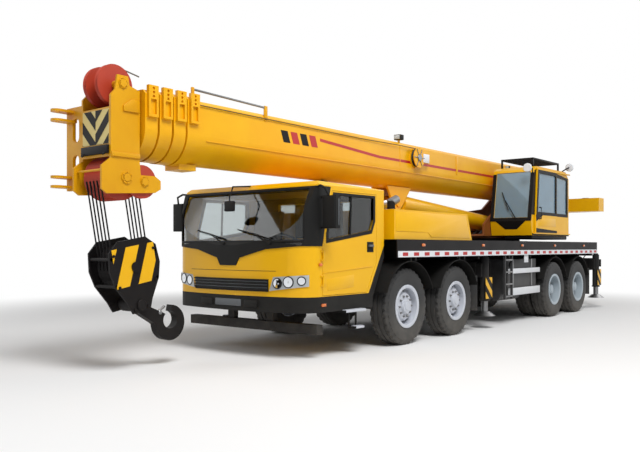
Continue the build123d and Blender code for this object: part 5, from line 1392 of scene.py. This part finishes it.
    def _plates(self) -> None:
        """Adds pin caps, ribs and hoses of the turntable frame and eyes of the counterweight."""
        body = "superstructure"
        caps, ribs, hose, eyes = Shape(), Shape(), Shape(), Shape()
        for sign in SIGNS:
            for station, z, r in self.pins:
                if sign < 0 or station < -6.5:
                    place, run = Vector((at(station), sign * self.cheek, z)), outward(sign)
                    caps.stud(place, run, r, 0.0, 0.016, 36, 0.005)
                    caps.bolts(place, run, 0.7 * r, 0.012, (0.014, 0.028), 0.002)
            for outline in self.ribs:
                ribs.side_prism(sign, outline, (self.cheek, 0.482), 0.003)
        caps.build("pin_caps", STEEL, body, "bare_steel")
        # The ribs take the turret yellow darkened as painted shade.
        ribs.build("turret_ribs", TURRET_SHADED_YELLOW, body, "turret_paint")
        for y in (-0.12, 0.0, 0.12):
            hose.tube([(at(-4.6), y, 1.69), (at(-4.75), y, 1.76), (at(-5.1), y, 1.75),
                       (at(-5.25), y, 1.8)], 0.017, 10)
        hose.build("turret_hoses", RUBBER, body, "black_plastic")
        for y in (-0.8, 0.8):
            eyes.collar(Vector((at(-9.0), y, 2.62)), Vector((0.0, 0.0, 1.0)),
                        [(0.05, 0.0), (0.085, 0.0), (0.085, 0.02), (0.05, 0.02)], 28)
        eyes.build("counterweight_eyes", BLACK, body, "black_plastic")


@dataclass
class Boom:
    """Boom: red line, slanted blocks, seams, top rod, cables, head chevrons, bolts and post."""

    flank: float = 0.34
    line: Outline = ((3.21, 2.989), (1.668, 2.89), (-2.49, 2.88))
    line_half: float = 0.022
    blocks: tuple[float, ...] = (3.26, 3.46, 3.66, 3.86)
    collar_front: float = 3.35
    collar_pitch: float = 0.2
    reel: Flat = (at(-1.77), 2.975)
    lamp_x: float = at(-1.35)
    head_x: float = at(4.355)
    chevron_half: float = 0.248
    chevron_rise: Flat = (2.562, 2.938)
    chevron_lean: float = 0.376
    head_side: float = 0.279
    axles: tuple[Point, ...] = ((4.15, 2.2, 0.075), (4.2, 3.235, 0.06), (3.91, 2.17, 0.06))
    head_plates: tuple[Outline, ...] = (
        ((3.99, 2.93), (4.2, 2.93), (4.2, 2.99), (4.09, 3.07), (3.99, 3.07)),
        ((3.98, 2.42), (4.35, 2.42), (4.35, 2.47), (3.98, 2.47)))

    def build(self) -> None:
        """Makes the boom's pieces."""
        self._marks()
        self._seams()
        self._rod()
        self._reel()
        self._chevrons()
        self._head()

    def _marks(self) -> None:
        """Lays the red line and the slanted blocks on both flanks."""
        red, dark, half = Shape(), Shape(), self.line_half
        for sign in SIGNS:
            depth = span(sign, self.flank - 0.001, self.flank + 0.002)
            for (x0, z0), (x1, z1) in zip(self.line, self.line[1:]):
                red.prism([(x0, z0 - half), (x1, z1 - half), (x1, z1 + half), (x0, z0 + half)], Axis.Y,
                          *depth)
            for number, start in enumerate(self.blocks):
                block = [(start, 2.87), (start + 0.14, 2.87), (start + 0.2, 3.03), (start + 0.06, 3.03)]
                (red if number % 2 == 0 else dark).prism(block, Axis.Y, *depth)
        red.build("boom_red_line", RED, "boom_base", "yellow_paint")
        dark.build("boom_dark_blocks", BLACK, "boom_base", "yellow_paint")

    def _seams(self) -> None:
        """Adds the weld seams and stiffeners of the base section and the bolts of each collar."""
        seams = Shape()
        for sign in SIGNS:
            y = sign * self.flank
            seams.tube([(1.075, y, 2.79), (1.075, y, 3.155)], 0.007, 6)
            seams.tube([(5.4, y, 2.72), (1.07, y, 2.71), (-2.9, y, 2.69), (-4.3, y, 2.69)], 0.006, 6)
            seams.side_box(sign, (-3.3, -3.24), (self.flank, self.flank + 0.01), (2.8, 3.15), 0.002)
            seams.side_box(sign, (-6.6, -6.5), (self.flank, self.flank + 0.012), (2.72, 3.15), 0.002)
        seams.build("boom_seams", BOOM_YELLOW, "boom_base", "yellow_paint")
        for number in range(4):
            body = "boom_base" if number == 0 else f"boom_section_{number + 1}"
            x = at(self.collar_front + self.collar_pitch * number) - 0.09
            bolts = Shape()
            for sign in SIGNS:
                for y in (0.08, 0.2):
                    bolts.disc((x, sign * y, 3.224 - 0.006 * number), Axis.Z, 0.016, 0.0, 0.014, 6, 0.002)
            bolts.build(f"collar_bolts_{number + 1}", STEEL, body, "bare_steel")

    @staticmethod
    def _rod() -> None:
        """Adds the pale rod over the boom's near edge with its brackets."""
        rod = Shape().tube([(at(3.25), 0.335, 3.32), (at(1.985), 0.335, 3.285)], 0.014, 10)
        rod.build("boom_top_rod", STEEL, "boom_base", "bare_steel")
        stand = Shape().box((at(1.955), 0.325, 3.1), (at(2.015), 0.349, 3.31), 0.006)
        stand.box((at(3.23), 0.322, 3.2), (at(3.27), 0.35, 3.345), 0.006)
        stand.build("boom_rod_bracket", HEAD_YELLOW, "boom_base", "yellow_paint")

    def _reel(self) -> None:
        """Adds the cable on the side reel, its hub and box, and the work lamp."""
        (x, z), lamp, body = self.reel, self.lamp_x, "boom_base"
        profile = [(0.12, 0.36)]
        for k in range(5):
            y = 0.361 + 0.0115 * (k + 0.5)
            profile += [(0.15, y - 0.005), (0.156, y), (0.15, y + 0.005)]
        profile.append((0.12, 0.4175))
        cable = Shape().lathe(profile, (x, 0.0, z), Axis.Y, 40, closed=False)
        cable.tube([(x + 0.02, 0.39, z + 0.153), (x + 0.6, 0.375, z + 0.16), (x + 1.6, 0.356, z + 0.15),
                    (at(3.16), 0.356, 3.14)], 0.006, 8)
        cable.build("reel_cable", RUBBER, body, "black_plastic")
        hub = Shape().disc((x, 0.0, z), Axis.Y, 0.06, 0.43, 0.452, 28, 0.006)
        for c, s in clock(6):
            hub.tube([(x + r * c, 0.436, z + r * s) for r in (0.05, 0.165)], 0.008, 6)
        hub.build("reel_hub", STEEL, body, "bare_steel")
        case = Shape().box((x - 0.325, 0.434, z - 0.07), (x - 0.125, 0.438, z + 0.08), 0.002)
        case.build("reel_box_cover", WHITE, body, "bare_steel")
        lens = Shape().box((lamp + 0.054, 0.225, 3.255), (lamp + 0.066, 0.335, 3.325), 0.006)
        lens.build("boom_lamp_lens", LENS, body, "lamp_lens")
        lamp_case = Shape().box((lamp - 0.06, 0.215, 3.245), (lamp + 0.056, 0.345, 3.335), 0.008)
        lamp_case.build("boom_lamp_case", BLACK_PLASTIC, body, "black_plastic")

    def _chevrons(self) -> None:
        """Adds the head's pale board, dark chevrons, bar and pegs."""
        x, half, (low, high) = self.head_x, self.chevron_half, self.chevron_rise
        pale = Shape().box((x - 0.002, -0.25, 2.56), (x + 0.004, 0.25, 2.94), 0.0)
        pale.build("head_board", CREAM, "boom_section_5", "yellow_paint")
        dark = Shape()
        for left, right, lean in ((-half, 0.0, -self.chevron_lean), (0.0, half, self.chevron_lean)):
            for band in stripes((left, low), (right, high), 0.26, 0.13, lean):
                dark.prism(band, Axis.X, x + 0.003, x + 0.0065)
        dark.box((x - 0.002, -0.25, 2.45), (x + 0.03, 0.25, 2.545), 0.006)
        for y in (-0.2, 0.2):
            dark.tube([(x - 0.01, y, 2.5), (x + 0.05, y, 2.44)], 0.014, 8)
        dark.build("head_chevrons", BLACK, "boom_section_5", "black_plastic")

    def _head(self) -> None:
        """Adds the head's axle caps, plates, post, rope guard and the rope's end."""
        body = "boom_section_5"
        caps, plates = Shape(), Shape()
        for sign in SIGNS:
            for station, z, r in self.axles:
                place, run = Vector((at(station), sign * self.head_side, z)), outward(sign)
                caps.collar(place, run, [(0.05, 0.0), (r, 0.0), (r - 0.006, 0.016), (0.05, 0.016)], 32)
                caps.bolts(place, run, 0.78 * r, 0.009, (0.014, 0.026), 0.001, 0.5)
            for outline in self.head_plates:
                plates.side_prism(sign, outline, (self.head_side, 0.3), 0.004)
        caps.build("head_axle_caps", HEAD_YELLOW, body, "yellow_paint")
        plates.box((at(4.09), -0.05, 3.28), (at(4.13), 0.05, 3.45), 0.004)
        plates.build("head_brackets", HEAD_YELLOW, body, "yellow_paint")
        guards = Shape().tube([(at(4.11), 0.0, 3.44), (at(4.11), 0.0, 3.492)], 0.016, 10)
        guards.tube([(at(4.42), -0.26, 2.27), (at(4.42), 0.26, 2.27)], 0.013, 10)
        guards.build("head_rope_guards", HEAD_YELLOW, body, "yellow_paint")
        rope = Shape().tube([(at(4.15), 0.11, 3.4555), (at(4.07), 0.11, 3.43), (at(3.86), 0.11, 3.39)],
                            0.009, 8)
        rope.build("head_rope", ROPE, body, "bare_steel")


@dataclass
class HookBlock:
    """Hook block: yellow stripes on its cheeks, bolts, spacers and the hook's latch."""

    bank: Flat = (at(4.15), 2.2)
    trunnion: float = 1.452
    tilt: float = radians(10.0)
    cheek: float = 0.206
    pull: float = radians(65.0)
    bolts: Outline = ((-0.27, 0.84), (0.27, 0.84), (-0.25, 1.2), (0.25, 1.2), (-0.09, 1.49), (0.09, 1.49))
    spacers: Outline = ((-0.3, 0.872), (0.3, 0.872), (-0.28, 1.182), (0.28, 1.182))

    def build(self) -> None:
        """Makes the block's pieces."""
        self._cheeks()
        self._hook()

    def _on_block(self, forward: float, drop: float) -> Flat:
        """Gives a point of the block's own plane.

        Args:
            forward: Distance forward of the hanging line.
            drop: Distance down it.

        Returns:
            X and Z.
        """
        return (self.bank[0] + forward * cos(self.tilt) - drop * sin(self.tilt),
                self.bank[1] - forward * sin(self.tilt) - drop * cos(self.tilt))

    def _on_hook(self, across: float, along: float) -> Point:
        """Gives a point of the hook's own plane.

        Args:
            across: Distance across the shank.
            along: Distance up the shank from the trunnion.

        Returns:
            The point, on the middle plane.
        """
        x, z = self._on_block(0.0, self.trunnion)
        return (x - across * cos(self.pull) + along * sin(self.pull), 0.0,
                z + across * sin(self.pull) + along * cos(self.pull))

    def _cheeks(self) -> None:
        """Adds stripes, bolts and a trunnion cap to each cheek, and the spacers between them."""
        yellow, black, bars = Shape(), Shape(), Shape()
        studs = [(0.0, self.trunnion, 0.062, 0.024, 32, 0.006)]
        studs += [(forward, drop, 0.018, 0.016, 6, 0.003) for forward, drop in self.bolts]
        for sign in SIGNS:
            depth = span(sign, self.cheek - 0.001, self.cheek + 0.0025)
            for band in stripes((-0.285, -1.21), (0.285, -0.77), 0.3, 0.18, -0.2):
                yellow.prism([self._on_block(forward, -rise) for forward, rise in band], Axis.Y, *depth)
            for forward, drop, radius, height, sides, bevel in studs:
                x, z = self._on_block(forward, drop)
                black.stud(Vector((x, sign * self.cheek, z)), outward(sign), radius, 0.0, height, sides,
                           bevel)
        yellow.build("block_stripes", YELLOW, "hook_block", "yellow_paint")
        black.build("block_bolts", BLACK, "hook_block", "block_paint")
        for forward, drop in self.spacers:
            x, z = self._on_block(forward, drop)
            bars.tube([(x, -self.cheek, z), (x, self.cheek, z)], 0.02, 12)
        bars.build("block_spacers", BLACK, "hook_block", "block_paint")

    def _hook(self) -> None:
        """Adds the safety latch of the hook."""
        root, tip = self._on_hook(0.055, -0.405), self._on_hook(0.16, -0.47)
        latch = Shape().tube([root, tip], 0.016, 10)
        latch.disc(root, Axis.Y, 0.026, -0.062, 0.062, 20, 0.005)
        latch.build("hook_latch", STEEL, "hook", "bare_steel")


@dataclass
class Stage:
    """Floor, world, lamps and the photograph's camera."""

    camera_place: Point = (11.34, 6.97, 1.43)
    camera_run: Point = (-0.775, -0.632, 0.0)
    lens: float = 40.5
    sensor: float = 36.0
    shift_y: float = 21.0 / 640.0
    view_end: float = 400.0
    floor_half: float = 60.0
    floor_grey: float = 0.86
    fade_from: float = 7.0
    fade_to: float = 13.0
    fill_light: float = 0.26
    aim: Point = (0.5, 0.0, 1.4)
    lamps: tuple[tuple[str, Point, float, float], ...] = (
        ("key", (7.5, 8.5, 13.0), 6.0, 1950.0), ("fill", (13.0, -8.0, 8.0), 9.0, 340.0),
        ("back", (-11.0, 6.0, 9.0), 8.0, 480.0))

    def build(self) -> None:
        """Makes the stage."""
        self._floor()
        self._world()
        for name, place, size, power in self.lamps:
            lamp = bpy.data.lights.new(name, "AREA")
            lamp.shape = "SQUARE"
            lamp.size = size
            lamp.energy = power
            self._stand(name, lamp, place, Vector(self.aim) - Vector(place))
        camera = bpy.data.cameras.new("photo_camera")
        camera.lens = self.lens
        camera.sensor_width = self.sensor
        camera.shift_y = self.shift_y
        camera.clip_end = self.view_end
        scene = bpy.context.scene
        scene.camera = self._stand("photo_camera", camera, self.camera_place, Vector(self.camera_run))
        scene.view_settings.view_transform = "Standard"

    @staticmethod
    def _stand(name: str, data: bpy.types.ID, place: Point, run: Vector) -> bpy.types.Object:
        """Stands a lamp or a camera in the scene.

        Args:
            name: Name of the object.
            data: The lamp or camera.
            place: Where it stands.
            run: Direction that it looks in.

        Returns:
            The object.
        """
        holder = bpy.data.objects.new(name, data)
        holder.location = place
        holder.rotation_euler = run.to_track_quat("-Z", "Y").to_euler()
        bpy.context.scene.collection.objects.link(holder)
        return holder

    @staticmethod
    def _plain_rays(tree: Tree) -> bpy.types.NodeSocket:
        """Picks out the rays that see plain white: from the eye, off gloss and through glass.

        Args:
            tree: The node tree.

        Returns:
            A socket that is 1 for those rays.
        """
        seen = tree.add("LightPath")
        first = tree.add("Math", {0: seen["Is Camera Ray"], 1: seen["Is Glossy Ray"]},
                         operation="MAXIMUM")
        return tree.add("Math", {0: first["Value"], 1: seen["Is Transmission Ray"]},
                        operation="MAXIMUM")["Value"]

    def _floor(self) -> None:
        """Makes the pale floor, which turns plain white far from the crane."""
        part = bmesh.new()
        bmesh.ops.create_grid(part, x_segments=2, y_segments=2, size=self.floor_half)
        mesh = bpy.data.meshes.new("floor")
        part.to_mesh(mesh)
        part.free()
        material = bpy.data.materials.new("studio_floor")
        tree = Tree(material)
        shader = tree.nodes["Principled BSDF"]
        tree.feed(shader, {"Base Color": (*[self.floor_grey] * 3, 1.0), "Roughness": 0.9,
                           "Specular IOR Level": 0.1})
        reach = tree.add("VectorMath", {0: tree.add("TexCoord")["Object"]}, operation="LENGTH")
        fade = tree.add("MapRange", {"From Min": self.fade_from, "From Max": self.fade_to,
                                     "Value": reach["Value"]}, interpolation_type="SMOOTHSTEP")
        share = tree.add("Math", {0: fade["Result"], 1: self._plain_rays(tree)}, operation="MULTIPLY")
        mix = tree.add("MixShader", {"Fac": share["Value"], 1: shader.outputs["BSDF"],
                                     2: tree.add("Emission")["Emission"]})
        tree.feed(tree.nodes["Material Output"], {"Surface": mix["Shader"]})
        mesh.materials.append(material)
        floor = bpy.data.objects.new("floor", mesh)
        bpy.context.scene.collection.objects.link(floor)

    def _world(self) -> None:
        """Makes a world that is white to the eye and a plain fill light to the rest."""
        world = bpy.data.worlds.new("studio")
        tree = Tree(world)
        light = tree.nodes["Background"]
        tree.feed(light, {"Color": WHITE_LIGHT, "Strength": self.fill_light})
        white = tree.add("Background", {"Color": WHITE_LIGHT})
        mix = tree.add("MixShader", {"Fac": self._plain_rays(tree), 1: light.outputs["Background"],
                                     2: white["Background"]})
        tree.feed(tree.nodes["World Output"], {"Surface": mix["Shader"]})
        bpy.context.scene.world = world


def main() -> None:
    """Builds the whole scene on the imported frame."""
    logging.basicConfig(level=logging.INFO)
    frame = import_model()
    NodeFinishes(frame).apply()
    for assembly in (Wheels(), DriverCab(), Carrier(), Superstructure(), Boom(), HookBlock(), Stage()):
        assembly.build()
    LOG.info("crane dressed")


if __name__ == "__main__":
    main()
